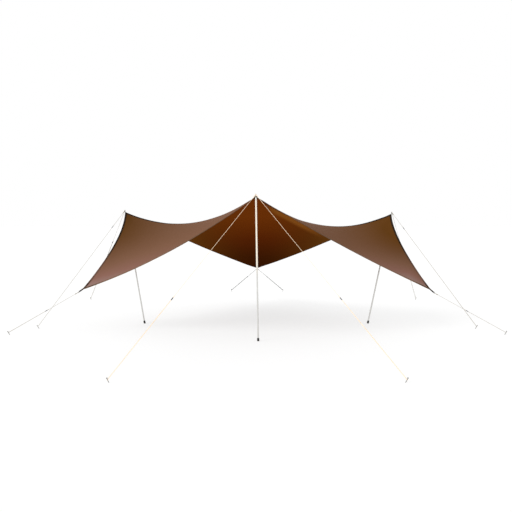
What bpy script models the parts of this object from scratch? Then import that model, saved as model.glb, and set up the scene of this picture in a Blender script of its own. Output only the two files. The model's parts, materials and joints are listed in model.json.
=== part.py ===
"""Camping tarp on three poles, held by ten guy ropes.

A brown six-cornered sheet hangs from a main pole at the front and a shorter pole at each side. Its
other three corners are drawn down to the ground. Metres, X across the tarp, Y from front to back.
The origin is on the ground, in the middle of the floor that the tarp and its pegs cover.
"""
import math

import bmesh
import bpy
import numpy as np
from mathutils import Matrix, Vector

# Corners of the sheet. It is cut alike on both sides, but it isn't pitched quite evenly. Y starts at
# the main pole's foot.
FRONT_TIP = (-0.023, -0.25, 2.38)
LOW_CORNER = {"left": (-3.221, 0.90, 0.740), "right": (3.196, 0.90, 0.733)}
SIDE_TIP = {"left": (-2.623, 1.75, 2.186), "right": (2.669, 1.75, 2.150)}
BACK_CORNER = (0.0, 4.50, 0.830)

# Where the poles and the pegs meet the ground. A single peg place is the right one of a mirrored pair.
MAIN_FOOT = (0.017, 0.0, 0.0)
SIDE_FOOT = {"left": (-2.21, 1.50, 0.0), "right": (2.173, 1.50, 0.0)}
SIDE_REAR_PEG = {"left": (-4.28, 4.56, 0.0), "right": (4.08, 4.56, 0.0)}
MAIN_PEG = (1.82, -2.20, 0.0)
SIDE_FRONT_PEG = (4.07, 1.00, 0.0)
LOW_PEG = (4.36, 0.48, 0.0)
BACK_PEG = (0.74, 6.20, 0.0)

# The edges are cut as shallow curves: how far the middle of each lies inward and upward of its chord.
# The left ridge is pulled tighter than the right one, so the two sides hang a little differently.
FRONT_EDGE_SAG = {"left": (0.109, -0.125), "right": (0.109, -0.031)}
SIDE_EDGE_SAG = {"left": (0.273, 0.078), "right": (0.248, 0.117)}
BACK_EDGE_SAG = {"left": (0.255, -0.110), "right": (0.257, -0.103)}
NET_ROWS = 14
RIDGE_PULL = {"left": 1.075 * NET_ROWS, "right": 0.72 * NET_ROWS}
CLOTH = 0.003
GAP = 0.0003
SEAM_HALF_GAP = 0.00018

# Corners: a webbing disc round each pole's pin, and a webbing tab with an eye at each low corner.
TAB_THICK = 0.004
DISC_RADIUS = 0.016
NOTCH_FROM = -0.06
NOTCH_TO = 0.04
LOW_TRIM = 0.060
LOW_TAB_WIDTHS = (0.032, 0.026)
LOW_TAB_REACH = 0.085
EYE_RADIUS = 0.0065

# Poles: tubes in sections with a rubber foot and a tip that narrows to a pin.
POLE_RADIUS = 0.014
MAIN_SECTIONS = ("lower", "middle", "upper")
SIDE_SECTIONS = ("lower", "upper")
FOOT_RADIUS = 0.019
FOOT_NECK_RADIUS = 0.015
FOOT_NECK_HEIGHT = 0.0385
FOOT_LENGTH = 0.055
TIP_LENGTH = 0.050
SHOULDER_RADIUS = 0.009
SHOULDER_HEIGHT = 0.022
TAPER_HEIGHT = 0.008
PIN_RADIUS = 0.004
PIN_POINT_RADIUS = 0.002
PIN_POINT_HEIGHT = 0.003
PIN_ABOVE_SHEET = 0.043

# Guy ropes, the sliders on them and the pegs.
MAIN_ROPE_RADIUS = 0.003
ROPE_RADIUS = 0.0025
ROPE_ON_PIN = 0.033
BACK_ROPE_OFFSET = 0.006
SLIDER_WALL = 0.004
SLIDER_LENGTH = 0.045
MAIN_SLIDER_AT = 0.62
SIDE_FRONT_SLIDER_AT = 0.14
SIDE_REAR_SLIDER_AT = 0.30
LOW_SLIDER_AT = 0.45
BACK_SLIDER_AT = 0.35
PEG_RADIUS = 0.0045
PEG_HEAD_RADIUS = 0.009
PEG_CROWN_RADIUS = 0.0054
PEG_HEAD_UNDER = 0.010
PEG_HEAD_RIM = (0.008, 0.003)
PEG_LENGTH = 0.075
PEG_BELOW = 0.020
PEG_LEAN = math.radians(25)
ROPE_ON_PEG = 0.045

ROUND_SIDES = 24
PEG_SIDES = 16
ROPE_SIDES = 10


def material(name, colour, roughness, metallic=0.0):
    """A plain material with one colour."""
    made = bpy.data.materials.new(name)
    made.use_nodes = True
    shader = made.node_tree.nodes["Principled BSDF"]
    shader.inputs["Base Color"].default_value = (*colour, 1.0)
    shader.inputs["Roughness"].default_value = roughness
    shader.inputs["Metallic"].default_value = metallic
    return made


def other_side(point):
    """The same point on the left of the tarp."""
    return Vector((-point[0], point[1], point[2]))


def add_object(name, bm, finish, place=None):
    """An object from a finished bmesh, placed by a matrix and carried by the tarp's empty."""
    bmesh.ops.triangulate(bm, faces=[face for face in bm.faces if len(face.verts) > 4])
    mesh = bpy.data.meshes.new(name)
    bm.to_mesh(mesh)
    bm.free()
    mesh.materials.append(finish)
    made = bpy.data.objects.new(name, mesh)
    bpy.context.scene.collection.objects.link(made)
    made.parent = bpy.data.objects["tarp"]
    if place is not None:
        made.matrix_local = place
    return made


def shade_round(made):
    """Smooth shading with the real edges kept sharp."""
    made.data.shade_smooth()
    made.data.set_sharp_from_angle(angle=math.radians(35))
    return made


def along(start, end):
    """A matrix at start whose Z axis points to end."""
    direction = (Vector(end) - Vector(start)).normalized()
    turn = direction.to_track_quat("Z", "Y").to_matrix().to_4x4()
    return Matrix.Translation(start) @ turn


def turned(profile, sides):
    """A solid turned about Z from its outline, given as radius and height from bottom to top."""
    bm = bmesh.new()
    rings = []
    for radius, height in profile:
        ring = []
        for step in range(sides):
            angle = 2 * math.pi * step / sides
            ring.append(bm.verts.new((radius * math.cos(angle), radius * math.sin(angle), height)))
        rings.append(ring)
    bm.faces.new(list(reversed(rings[0])))
    bm.faces.new(rings[-1])
    for low, high in zip(rings, rings[1:]):
        for step in range(sides):
            following = (step + 1) % sides
            bm.faces.new((low[step], low[following], high[following], high[step]))
    return bm


def cut_at_ground(bm, place):
    """Cuts a leaning solid off level with the ground."""
    down = place.inverted()
    point = down @ Vector((place.translation.x, place.translation.y, 0.0))
    normal = down.to_3x3() @ Vector((0.0, 0.0, -1.0))
    cut_away(bm, point, normal)


def cut_away(bm, point, normal):
    """Takes off what lies beyond a plane, and closes the cut."""
    everything = bm.verts[:] + bm.edges[:] + bm.faces[:]
    bmesh.ops.bisect_plane(bm, geom=everything, dist=1e-7, plane_co=point, plane_no=normal,
                           clear_outer=True)
    open_edges = [edge for edge in bm.edges if edge.is_boundary]
    bmesh.ops.holes_fill(bm, edges=open_edges, sides=0)


def rod(name, start, end, radius, sides, finish):
    """A straight round bar from start to end."""
    length = (Vector(end) - Vector(start)).length
    bm = turned(((radius, 0.0), (radius, length)), sides)
    return shade_round(add_object(name, bm, finish, along(start, end)))


# The sheet


def knots_by_place():
    """Numbers the knots of a net that fans out from the front tip, by row and place in the row."""
    numbers = {}
    for row in range(NET_ROWS + 1):
        for place in range(4 * row + 1):
            numbers[row, place] = len(numbers)
    return numbers


def fan_cells(numbers):
    """The net's triangles, seen from above, in four lists: one for each panel of the sheet."""
    panels = []
    for panel in range(4):
        cells = []
        for row in range(NET_ROWS):
            for step in range(row + 1):
                near = numbers[row, panel * row + step]
                left = numbers[row + 1, panel * (row + 1) + step]
                right = numbers[row + 1, panel * (row + 1) + step + 1]
                cells.append((near, right, left))
                if step < row:
                    cells.append((near, numbers[row, panel * row + step + 1], right))
        panels.append(cells)
    return panels


def edge_curve(start, end, sag):
    """Knots of a curved edge: sag is how far its middle lies inward and upward of the chord."""
    start = np.array(start)
    chord = np.array(end) - start
    inward = np.array((-chord[1], chord[0], 0.0))
    inward /= np.linalg.norm(inward)
    middle = np.array((0.0, (FRONT_TIP[1] + BACK_CORNER[1]) / 2, 0.0))
    if inward @ (middle - start) < 0:
        inward = -inward
    bow = inward * sag[0] + np.array((0.0, 0.0, sag[1]))
    share = np.linspace(0.0, 1.0, NET_ROWS + 1)[:, None]
    return start + share * chord + 4 * share * (1 - share) * bow


def relaxed_sheet(numbers, panels):
    """Positions of the knots, pulled level between their neighbours, with taut ridge lines."""
    spots = np.zeros((len(numbers), 3))
    ring = [LOW_CORNER["left"], SIDE_TIP["left"], BACK_CORNER, SIDE_TIP["right"], LOW_CORNER["right"]]
    sags = [SIDE_EDGE_SAG["left"], BACK_EDGE_SAG["left"], BACK_EDGE_SAG["right"], SIDE_EDGE_SAG["right"]]
    held = set()
    for side, seam, corner in (("left", 0, ring[0]), ("right", 4, ring[4])):
        edge = [numbers[row, seam * row] for row in range(NET_ROWS + 1)]
        spots[edge] = edge_curve(FRONT_TIP, corner, FRONT_EDGE_SAG[side])
        held.update(edge)
    for panel in range(4):
        edge = [numbers[NET_ROWS, panel * NET_ROWS + step] for step in range(NET_ROWS + 1)]
        spots[edge] = edge_curve(ring[panel], ring[panel + 1], sags[panel])
        held.update(edge)
    links = set()
    for cells in panels:
        for cell in cells:
            for one, two in zip(cell, cell[1:] + cell[:1]):
                links.add((min(one, two), max(one, two)))
    ridges = {}
    for side, panel in (("left", 1), ("right", 3)):
        for row in range(NET_ROWS):
            link = (numbers[row, panel * row], numbers[row + 1, panel * (row + 1)])
            ridges[link] = RIDGE_PULL[side]
    pull = np.zeros((len(numbers), len(numbers)))
    for one, two in sorted(links):
        weight = ridges.get((one, two), 1.0)
        pull[one, one] += weight
        pull[two, two] += weight
        pull[one, two] -= weight
        pull[two, one] -= weight
    fixed = sorted(held)
    free = [knot for knot in range(len(numbers)) if knot not in held]
    spots[free] = np.linalg.solve(pull[np.ix_(free, free)], -pull[np.ix_(free, fixed)] @ spots[fixed])
    return spots


def knot_normals(spots, panels):
    """The direction square to the sheet at each knot."""
    normals = np.zeros_like(spots)
    for cells in panels:
        for cell in cells:
            one, two, three = (spots[knot] for knot in cell)
            face = np.cross(two - one, three - one)
            for knot in cell:
                normals[knot] += face
    return normals / np.linalg.norm(normals, axis=1)[:, None]


def seam_shift(numbers, spots, normals, panel):
    """Half the seam's gap, as a shift of a panel's knots along its two long seams."""
    shifts = {}
    for side, seam in ((1.0, panel), (-1.0, panel + 1)):
        if seam in (0, 4):
            continue
        for row in range(NET_ROWS + 1):
            knot = numbers[row, seam * row]
            before = numbers[max(row - 1, 0), seam * max(row - 1, 0)]
            after = numbers[min(row + 1, NET_ROWS), seam * min(row + 1, NET_ROWS)]
            run = spots[after] - spots[before]
            across = np.cross(run, normals[knot])
            shifts[knot] = side * across / np.linalg.norm(across) * SEAM_HALF_GAP
    return shifts


def panel_solid(cells, spots, normals, shifts):
    """A panel of the sheet as a thin closed solid."""
    bm = bmesh.new()
    upper = {}
    lower = {}
    for knot in sorted({knot for cell in cells for knot in cell}):
        spot = spots[knot] + shifts.get(knot, 0.0)
        upper[knot] = bm.verts.new(spot + normals[knot] * CLOTH / 2)
        lower[knot] = bm.verts.new(spot - normals[knot] * CLOTH / 2)
    sides = set()
    for cell in cells:
        bm.faces.new([upper[knot] for knot in cell])
        bm.faces.new([lower[knot] for knot in reversed(cell)])
        for one, two in zip(cell, cell[1:] + cell[:1]):
            if (two, one) in sides:
                sides.remove((two, one))
            else:
                sides.add((one, two))
    for one, two in sorted(sides):
        bm.faces.new((upper[two], upper[one], lower[one], lower[two]))
    return bm


class Corner:
    """A corner of the sheet: its place, the way out of it, and the direction square to the cloth."""

    def __init__(self, spots, knot, neighbours):
        self.place = Vector(spots[knot])
        toward = [(Vector(spots[other]) - self.place).normalized() for other in neighbours]
        self.outward = -(toward[0] + toward[1]).normalized()
        self.square = toward[0].cross(toward[1]).normalized()
        if self.square.z < 0:
            self.square = -self.square


def sheet_corners(numbers, spots):
    """The six corners, each with the knots next to it along the two lines that meet its tab."""
    last = NET_ROWS
    return {
        "front": Corner(spots, numbers[0, 0], (numbers[1, 1], numbers[1, 3])),
        "left_low": Corner(spots, numbers[last, 0], (numbers[last - 1, 0], numbers[last, 1])),
        "left_pole": Corner(spots, numbers[last, last],
                            (numbers[last - 1, last - 1], numbers[last, last + 1])),
        "back": Corner(spots, numbers[last, 2 * last],
                       (numbers[last, 2 * last - 1], numbers[last, 2 * last + 1])),
        "right_pole": Corner(spots, numbers[last, 3 * last],
                             (numbers[last - 1, 3 * (last - 1)], numbers[last, 3 * last - 1])),
        "right_low": Corner(spots, numbers[last, 4 * last],
                            (numbers[last - 1, 4 * (last - 1)], numbers[last, 4 * last - 1])),
    }


def notch_cutter(name, foot, corner):
    """A guide that cuts the sheet away round a pole's pin."""
    bm = turned(((DISC_RADIUS, NOTCH_FROM), (DISC_RADIUS, NOTCH_TO)), ROUND_SIDES)
    cutter = add_object(name, bm, bpy.data.materials["dark_webbing"], pin_frame(foot, corner))
    cutter.hide_render = True
    cutter.display_type = "WIRE"
    return cutter


def build_canopy(numbers, panels, spots, corners, finish):
    """The four panels: a wing at each side of the ridges and two halves at the back."""
    normals = knot_normals(spots, panels)
    cutters = {
        "front": notch_cutter("front_notch", MAIN_FOOT, corners["front"]),
        "left_pole": notch_cutter("left_notch", SIDE_FOOT["left"], corners["left_pole"]),
        "right_pole": notch_cutter("right_notch", SIDE_FOOT["right"], corners["right_pole"]),
    }
    for panel, name, low, raised in (
            (0, "canopy_left_wing", "left_low", ("front", "left_pole")),
            (1, "canopy_back_left", "back", ("front", "left_pole")),
            (2, "canopy_back_right", "back", ("front", "right_pole")),
            (3, "canopy_right_wing", "right_low", ("front", "right_pole"))):
        shifts = seam_shift(numbers, spots, normals, panel)
        bm = panel_solid(panels[panel], spots, normals, shifts)
        corner = corners[low]
        cut_away(bm, corner.place - corner.outward * LOW_TRIM, corner.outward)
        made = shade_round(add_object(name, bm, finish))
        for side in raised:
            notch = made.modifiers.new(side + "_notch", "BOOLEAN")
            notch.operation = "DIFFERENCE"
            notch.object = cutters[side]


def pin_frame(foot, corner):
    """A matrix at a raised corner whose Z axis runs up its pole."""
    place = along(foot, corner.place)
    place.translation = corner.place
    return place


def build_disc(name, foot, corner, finish):
    """A webbing disc that fills the notch: square to the cloth, with its walls along the pole."""
    frame = pin_frame(foot, corner)
    square = frame.to_3x3().inverted() @ corner.square
    bm = bmesh.new()
    rings = []
    for radius, face in ((EYE_RADIUS, -0.5), (DISC_RADIUS - GAP, -0.5),
                         (DISC_RADIUS - GAP, 0.5), (EYE_RADIUS, 0.5)):
        ring = []
        for step in range(ROUND_SIDES):
            angle = 2 * math.pi * step / ROUND_SIDES
            x, y = radius * math.cos(angle), radius * math.sin(angle)
            height = (face * TAB_THICK - x * square.x - y * square.y) / square.z
            ring.append(bm.verts.new((x, y, height)))
        rings.append(ring)
    join_rings(bm, rings)
    return shade_round(add_object(name, bm, finish, frame))


def join_rings(bm, rings):
    """Closes a ring-shaped solid from four loops: inner, outer, outer again and inner again."""
    for low, high in zip(rings, rings[1:] + rings[:1]):
        for step in range(len(low)):
            following = (step + 1) % len(low)
            bm.faces.new((low[step], low[following], high[following], high[step]))


def build_tab(name, corner, finish):
    """A flat webbing tab with an eye: it starts where the sheet's point was trimmed."""
    start = GAP - LOW_TRIM
    outline = [(start, LOW_TAB_WIDTHS[0] / 2), (LOW_TAB_REACH, LOW_TAB_WIDTHS[1] / 2),
               (LOW_TAB_REACH, -LOW_TAB_WIDTHS[1] / 2), (start, -LOW_TAB_WIDTHS[0] / 2)]
    eye = LOW_TAB_REACH - 2 * EYE_RADIUS
    angles = [2 * math.pi * (step + 0.5) / ROUND_SIDES for step in range(ROUND_SIDES)]
    for x, y in outline:
        toward = math.atan2(y, x - eye) % (2 * math.pi)
        nearest = min(range(ROUND_SIDES), key=lambda step: abs(angles[step] - toward))
        angles[nearest] = toward
    bm = bmesh.new()
    rings = []
    for part, height in (("eye", -0.5), ("rim", -0.5), ("rim", 0.5), ("eye", 0.5)):
        ring = []
        for angle in angles:
            ray = (math.cos(angle), math.sin(angle))
            length = EYE_RADIUS if part == "eye" else ray_to_rim(eye, ray, outline)
            spot = (eye + ray[0] * length, ray[1] * length, height * TAB_THICK)
            ring.append(bm.verts.new(spot))
        rings.append(ring)
    join_rings(bm, rings)
    sideways = corner.square.cross(corner.outward)
    turn = Matrix((corner.outward, sideways, corner.square)).transposed().to_4x4()
    return add_object(name, bm, finish, Matrix.Translation(corner.place) @ turn)


def ray_to_rim(eye, ray, outline):
    """How far a ray from the eye runs before it meets the tab's outline."""
    best = math.inf
    for (x1, y1), (x2, y2) in zip(outline, outline[1:] + outline[:1]):
        run = (x2 - x1, y2 - y1)
        cross = ray[0] * run[1] - ray[1] * run[0]
        if abs(cross) < 1e-12:
            continue
        distance = ((x1 - eye) * run[1] - y1 * run[0]) / cross
        if distance > 0:
            best = min(best, distance)
    return best


# The poles


def build_pole(name, foot, corner, sections, finishes):
    """A pole from its rubber foot to the pin that goes up through the sheet's corner."""
    foot = Vector(foot)
    tip = corner.place
    axis = (tip - foot).normalized()
    tilt = axis.angle(corner.square)
    below = (TAB_THICK / 2 + SHOULDER_RADIUS * math.sin(tilt) + GAP) / math.cos(tilt)
    shoulder = (tip - foot).length - below
    stand = along(foot, tip)
    bm = turned(((FOOT_RADIUS, -FOOT_LENGTH / 2), (FOOT_RADIUS, FOOT_NECK_HEIGHT),
                 (FOOT_NECK_RADIUS, FOOT_LENGTH)), ROUND_SIDES)
    cut_at_ground(bm, stand)
    shade_round(add_object(name + "_foot", bm, finishes["rubber"], stand))
    start = FOOT_LENGTH + GAP
    length = (shoulder - TIP_LENGTH - start) / len(sections)
    for number, section in enumerate(sections):
        low = foot + axis * (start + number * length)
        high = foot + axis * (start + (number + 1) * length - GAP)
        rod(f"{name}_{section}", low, high, POLE_RADIUS, ROUND_SIDES, finishes["tube"])
    base = foot + axis * (shoulder - TIP_LENGTH)
    pin_top = TIP_LENGTH + below + PIN_ABOVE_SHEET
    bm = turned(((POLE_RADIUS, 0.0), (POLE_RADIUS, TIP_LENGTH - SHOULDER_HEIGHT - TAPER_HEIGHT),
                 (SHOULDER_RADIUS, TIP_LENGTH - SHOULDER_HEIGHT), (SHOULDER_RADIUS, TIP_LENGTH),
                 (PIN_RADIUS, TIP_LENGTH), (PIN_RADIUS, pin_top - PIN_POINT_HEIGHT),
                 (PIN_POINT_RADIUS, pin_top)), ROUND_SIDES)
    shade_round(add_object(name + "_tip", bm, finishes["metal"], along(base, tip)))
    return axis


# The ropes, their sliders and the pegs


def clearance(direction, axis, bar_radius, rope_radius):
    """How far from a round bar's axis the flat end of a rope starts, to leave the gap."""
    slant = direction.angle(axis)
    return (bar_radius + GAP + rope_radius * abs(math.cos(slant))) / math.sin(slant)


def build_peg(name, ground, pulled_from, finish):
    """A steel peg that leans away from its rope, cut off at the ground. Returns its axis."""
    ground = Vector(ground)
    away = ground - Vector(pulled_from)
    away.z = 0.0
    axis = away.normalized() * math.sin(PEG_LEAN) + Vector((0.0, 0.0, math.cos(PEG_LEAN)))
    rim_low, rim_high = (PEG_LENGTH - drop for drop in PEG_HEAD_RIM)
    bm = turned(((PEG_RADIUS, -PEG_BELOW), (PEG_RADIUS, PEG_LENGTH - PEG_HEAD_UNDER),
                 (PEG_HEAD_RADIUS, rim_low), (PEG_HEAD_RADIUS, rim_high),
                 (PEG_CROWN_RADIUS, PEG_LENGTH)), PEG_SIDES)
    place = along(ground, ground + axis)
    cut_at_ground(bm, place)
    shade_round(add_object(name, bm, finish, place))
    return axis


def build_slider(name, start, end, share, rope_radius, finish):
    """A short tube on the rope, at a share of the way down it."""
    hole = rope_radius + GAP / math.cos(math.pi / ROPE_SIDES)
    rim = hole + SLIDER_WALL
    bm = bmesh.new()
    rings = []
    for radius, height in ((hole, 0.0), (rim, 0.0), (rim, SLIDER_LENGTH), (hole, SLIDER_LENGTH)):
        ring = []
        for step in range(ROPE_SIDES):
            angle = 2 * math.pi * step / ROPE_SIDES
            ring.append(bm.verts.new((radius * math.cos(angle), radius * math.sin(angle), height)))
        rings.append(ring)
    join_rings(bm, rings)
    middle = start.lerp(end, share)
    shade_round(add_object(name, bm, finish, along(middle, end)))


def build_guy(name, start, slack, ground, share, rope_radius, finishes):
    """A peg, the rope from a corner down to it, and the rope's slider.

    start is where the rope's line begins, and slack(direction) how far along it the rope starts.
    """
    peg_axis = build_peg(name + "_peg", ground, start, finishes["metal"])
    hold = Vector(ground) + peg_axis * ROPE_ON_PEG
    direction = (hold - start).normalized()
    first = start + direction * slack(direction)
    last = hold - direction * clearance(direction, peg_axis, PEG_RADIUS, rope_radius)
    rod(name + "_rope", first, last, rope_radius, ROPE_SIDES, finishes["rope"])
    build_slider(name + "_slider", first, last, share, rope_radius, finishes["slider"])


def pin_guy(name, corner, axis, ground, share, rope_radius, finishes):
    """A guy from the pin of a pole."""
    start = corner.place + axis * ROPE_ON_PIN
    slack = lambda direction: clearance(direction, axis, PIN_RADIUS, rope_radius)
    build_guy(name, start, slack, ground, share, rope_radius, finishes)


def tab_guy(name, corner, offset, ground, share, finishes):
    """A guy from the end of a low corner's tab, set to one side of its middle by the offset."""
    start = corner.place + corner.outward * LOW_TAB_REACH + Vector((offset, 0.0, 0.0))

    def slack(direction):
        slant = direction.angle(corner.outward)
        return (GAP + ROPE_RADIUS * math.sin(slant)) / math.cos(slant)

    build_guy(name, start, slack, ground, share, ROPE_RADIUS, finishes)


def centre_on_ground():
    """Moves everything so that the origin is under the middle of its box, on the ground."""
    tarp = bpy.data.objects["tarp"]
    bpy.context.view_layer.update()
    pieces = [piece for piece in tarp.children if not piece.hide_render]
    points = [piece.matrix_world @ vert.co for piece in pieces for vert in piece.data.vertices]
    for axis in (0, 1):
        values = [point[axis] for point in points]
        tarp.location[axis] = -(min(values) + max(values)) / 2
    bpy.context.view_layer.update()


def main():
    """Builds the tarp."""
    for old in list(bpy.data.objects):
        bpy.data.objects.remove(old)
    tarp = bpy.data.objects.new("tarp", None)
    bpy.context.scene.collection.objects.link(tarp)
    cloth = material("brown_cloth", (0.19, 0.09, 0.045), 0.6)
    webbing = material("dark_webbing", (0.05, 0.028, 0.018), 0.8)
    finishes = {
        "rubber": material("black_rubber", (0.012, 0.012, 0.012), 0.7),
        "tube": material("silver_tube", (0.72, 0.72, 0.70), 0.35, 0.9),
        "metal": material("steel", (0.55, 0.55, 0.56), 0.4, 1.0),
        "rope": material("cream_rope", (0.78, 0.70, 0.56), 0.8),
        "slider": material("dark_slider", (0.03, 0.03, 0.03), 0.45, 0.6),
    }
    numbers = knots_by_place()
    panels = fan_cells(numbers)
    spots = relaxed_sheet(numbers, panels)
    corners = sheet_corners(numbers, spots)
    build_canopy(numbers, panels, spots, corners, cloth)
    for name in ("left_low", "right_low", "back"):
        build_tab(name + "_corner_tab", corners[name], webbing)

    axis = build_pole("main_pole", MAIN_FOOT, corners["front"], MAIN_SECTIONS, finishes)
    build_disc("front_corner_disc", MAIN_FOOT, corners["front"], webbing)
    for name, ground in (("main_left", other_side(MAIN_PEG)), ("main_right", MAIN_PEG)):
        pin_guy(name, corners["front"], axis, ground, MAIN_SLIDER_AT, MAIN_ROPE_RADIUS, finishes)
    for side, sign, mirror in (("left", -1.0, other_side), ("right", 1.0, Vector)):
        pole = f"{side}_pole"
        foot = SIDE_FOOT[side]
        axis = build_pole(pole, foot, corners[pole], SIDE_SECTIONS, finishes)
        build_disc(pole + "_corner_disc", foot, corners[pole], webbing)
        for end, peg, share in (("front", mirror(SIDE_FRONT_PEG), SIDE_FRONT_SLIDER_AT),
                                ("rear", SIDE_REAR_PEG[side], SIDE_REAR_SLIDER_AT)):
            pin_guy(f"{pole}_{end}", corners[pole], axis, peg, share, ROPE_RADIUS, finishes)
        low = f"{side}_low"
        tab_guy(low, corners[low], 0.0, mirror(LOW_PEG), LOW_SLIDER_AT, finishes)
        offset = sign * BACK_ROPE_OFFSET
        tab_guy(f"back_{side}", corners["back"], offset, mirror(BACK_PEG), BACK_SLIDER_AT, finishes)
    centre_on_ground()


main()
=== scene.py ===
"""Looks of a brown camping tarp on three poles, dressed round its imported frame.

The sheet is one continuous cloth, stretched over a net that fans out from the front corner. Its hems,
seam tapes, corner patches, grommets and stitches lie on that cloth. Poles, ropes, sliders and pegs take
their lines from the frame's own bars. Metres, +Z up, X across the tarp and Y from front to back.
"""
import json
import logging
import math
from collections.abc import Callable, Sequence
from dataclasses import dataclass, replace
from enum import Enum

import bmesh
import bpy
import numpy as np
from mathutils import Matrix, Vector, noise
from mathutils.bvhtree import BVHTree


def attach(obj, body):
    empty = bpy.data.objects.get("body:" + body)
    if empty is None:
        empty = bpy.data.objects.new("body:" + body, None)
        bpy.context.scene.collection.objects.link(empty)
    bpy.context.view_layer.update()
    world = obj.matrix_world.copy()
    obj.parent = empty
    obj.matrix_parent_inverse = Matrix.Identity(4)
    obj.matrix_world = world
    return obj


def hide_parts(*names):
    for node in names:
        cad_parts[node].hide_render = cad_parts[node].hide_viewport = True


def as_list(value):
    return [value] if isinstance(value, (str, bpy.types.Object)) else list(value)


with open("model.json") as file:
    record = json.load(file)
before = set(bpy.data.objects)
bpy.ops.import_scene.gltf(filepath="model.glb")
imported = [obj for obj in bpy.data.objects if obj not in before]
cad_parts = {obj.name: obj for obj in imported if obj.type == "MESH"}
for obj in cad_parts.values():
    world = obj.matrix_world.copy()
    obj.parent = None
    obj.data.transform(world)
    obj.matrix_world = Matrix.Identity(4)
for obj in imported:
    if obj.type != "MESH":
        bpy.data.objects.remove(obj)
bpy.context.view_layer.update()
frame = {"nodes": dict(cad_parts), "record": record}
LOG = logging.getLogger("tarp")

Colour = tuple[float, float, float]
Place = tuple[float, float, float]
Span = tuple[float, float]
Profile = Sequence[tuple[float, float]]
Point = Sequence[float] | np.ndarray | Vector

# Reference view: the photograph is square, and the tarp's own middle lies a little right of its centre.
PHOTO_SIZE = 512
PHOTO_AXIS = 257.2
FOCAL_PIXELS = 500.0
SENSOR_WIDTH = 36.0
CAMERA_PLACE = (0.0, -10.2285, 1.9287)
CAMERA_DOWN = 0.06192

FULL_TURN = 2 * math.pi

# A raised bar of size 1: its eight corners, and its six faces.
BAR_CORNERS = np.array([(-1.0, -1.0, 0.0), (1.0, -1.0, 0.0), (1.0, 1.0, 0.0), (-1.0, 1.0, 0.0),
                        (-0.7, -0.5, 1.0), (0.7, -0.5, 1.0), (0.7, 0.5, 1.0), (-0.7, 0.5, 1.0)])
BAR_FACES = np.array([(3, 2, 1, 0), (4, 5, 6, 7), (0, 1, 5, 4), (1, 2, 6, 5), (2, 3, 7, 6), (3, 0, 4, 7)])


# Small geometry


def unit(vector: Point) -> np.ndarray:
    """The same direction with a length of one, for one vector or a row of them."""
    vector = np.asarray(vector, float)
    return vector / np.linalg.norm(vector, axis=-1, keepdims=True)


def smooth_step(values: np.ndarray | float, low: float, high: float) -> np.ndarray:
    """A soft rise from 0 at low to 1 at high."""
    share = np.clip((np.asarray(values, float) - low) / (high - low), 0.0, 1.0)
    return share * share * (3 - 2 * share)


def node_points(name: str) -> np.ndarray:
    """The corners of a frame node's mesh, one row for each."""
    return np.array([vert.co for vert in frame["nodes"][name].data.vertices], float)


def travel(points: np.ndarray) -> np.ndarray:
    """How far along a line each of its points lies."""
    steps = np.linalg.norm(np.diff(points, axis=0), axis=1)
    return np.concatenate([[0.0], np.cumsum(steps)])


def resampled(points: np.ndarray, places: np.ndarray) -> np.ndarray:
    """Points of a line at given distances along it."""
    along = travel(points)
    return np.stack([np.interp(places, along, points[:, axis]) for axis in range(3)], axis=1)


def half_loop(centre: np.ndarray, side: np.ndarray, ahead: np.ndarray) -> list[np.ndarray]:
    """Half of an ellipse round a centre, from side by way of ahead to the other side."""
    turn = np.linspace(0.0, math.pi, 15)[:, None]
    return list(centre + side * np.cos(turn) + ahead * np.sin(turn))


@dataclass(frozen=True)
class Bar:
    """The middle line of a straight round bar in the frame, from its higher to its lower end."""

    start: np.ndarray
    end: np.ndarray

    @classmethod
    def of(cls, name: str) -> "Bar":
        """Reads a bar's line from its node.

        Args:
            name: The node's name.

        Returns:
            The bar.
        """
        points = node_points(name)
        centre = points.mean(axis=0)
        axis = np.linalg.svd(points - centre, full_matrices=False)[2][0]
        if axis[2] > 0:
            axis = -axis
        along = (points - centre) @ axis
        return cls(centre + axis * along.min(), centre + axis * along.max())

    @property
    def direction(self) -> np.ndarray:
        """The way down the bar."""
        return unit(self.end - self.start)


@dataclass(frozen=True)
class Axes:
    """A place with three square directions: out along it, across it and up from its face."""

    place: np.ndarray
    out: np.ndarray
    across: np.ndarray
    up: np.ndarray

    @classmethod
    def along(cls, start: Point, end: Point, hint: Point = (0.0, 0.0, 1.0)) -> "Axes":
        """Axes at start whose up direction runs to end.

        Args:
            start: Their place.
            end: A point on the up direction.
            hint: A direction that the across direction is square to.

        Returns:
            The axes.
        """
        up = unit(np.asarray(end, float) - np.asarray(start, float))
        if abs(up @ unit(hint)) > 0.999:
            hint = (1.0, 0.0, 0.0)
        across = unit(np.cross(hint, up))
        return cls(np.asarray(start, float), np.cross(across, up), across, up)

    def at(self, local: Point) -> np.ndarray:
        """Local points, given as out, across and up, in the row frame."""
        return self.place + np.asarray(local, float) @ np.stack([self.out, self.across, self.up])


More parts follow.
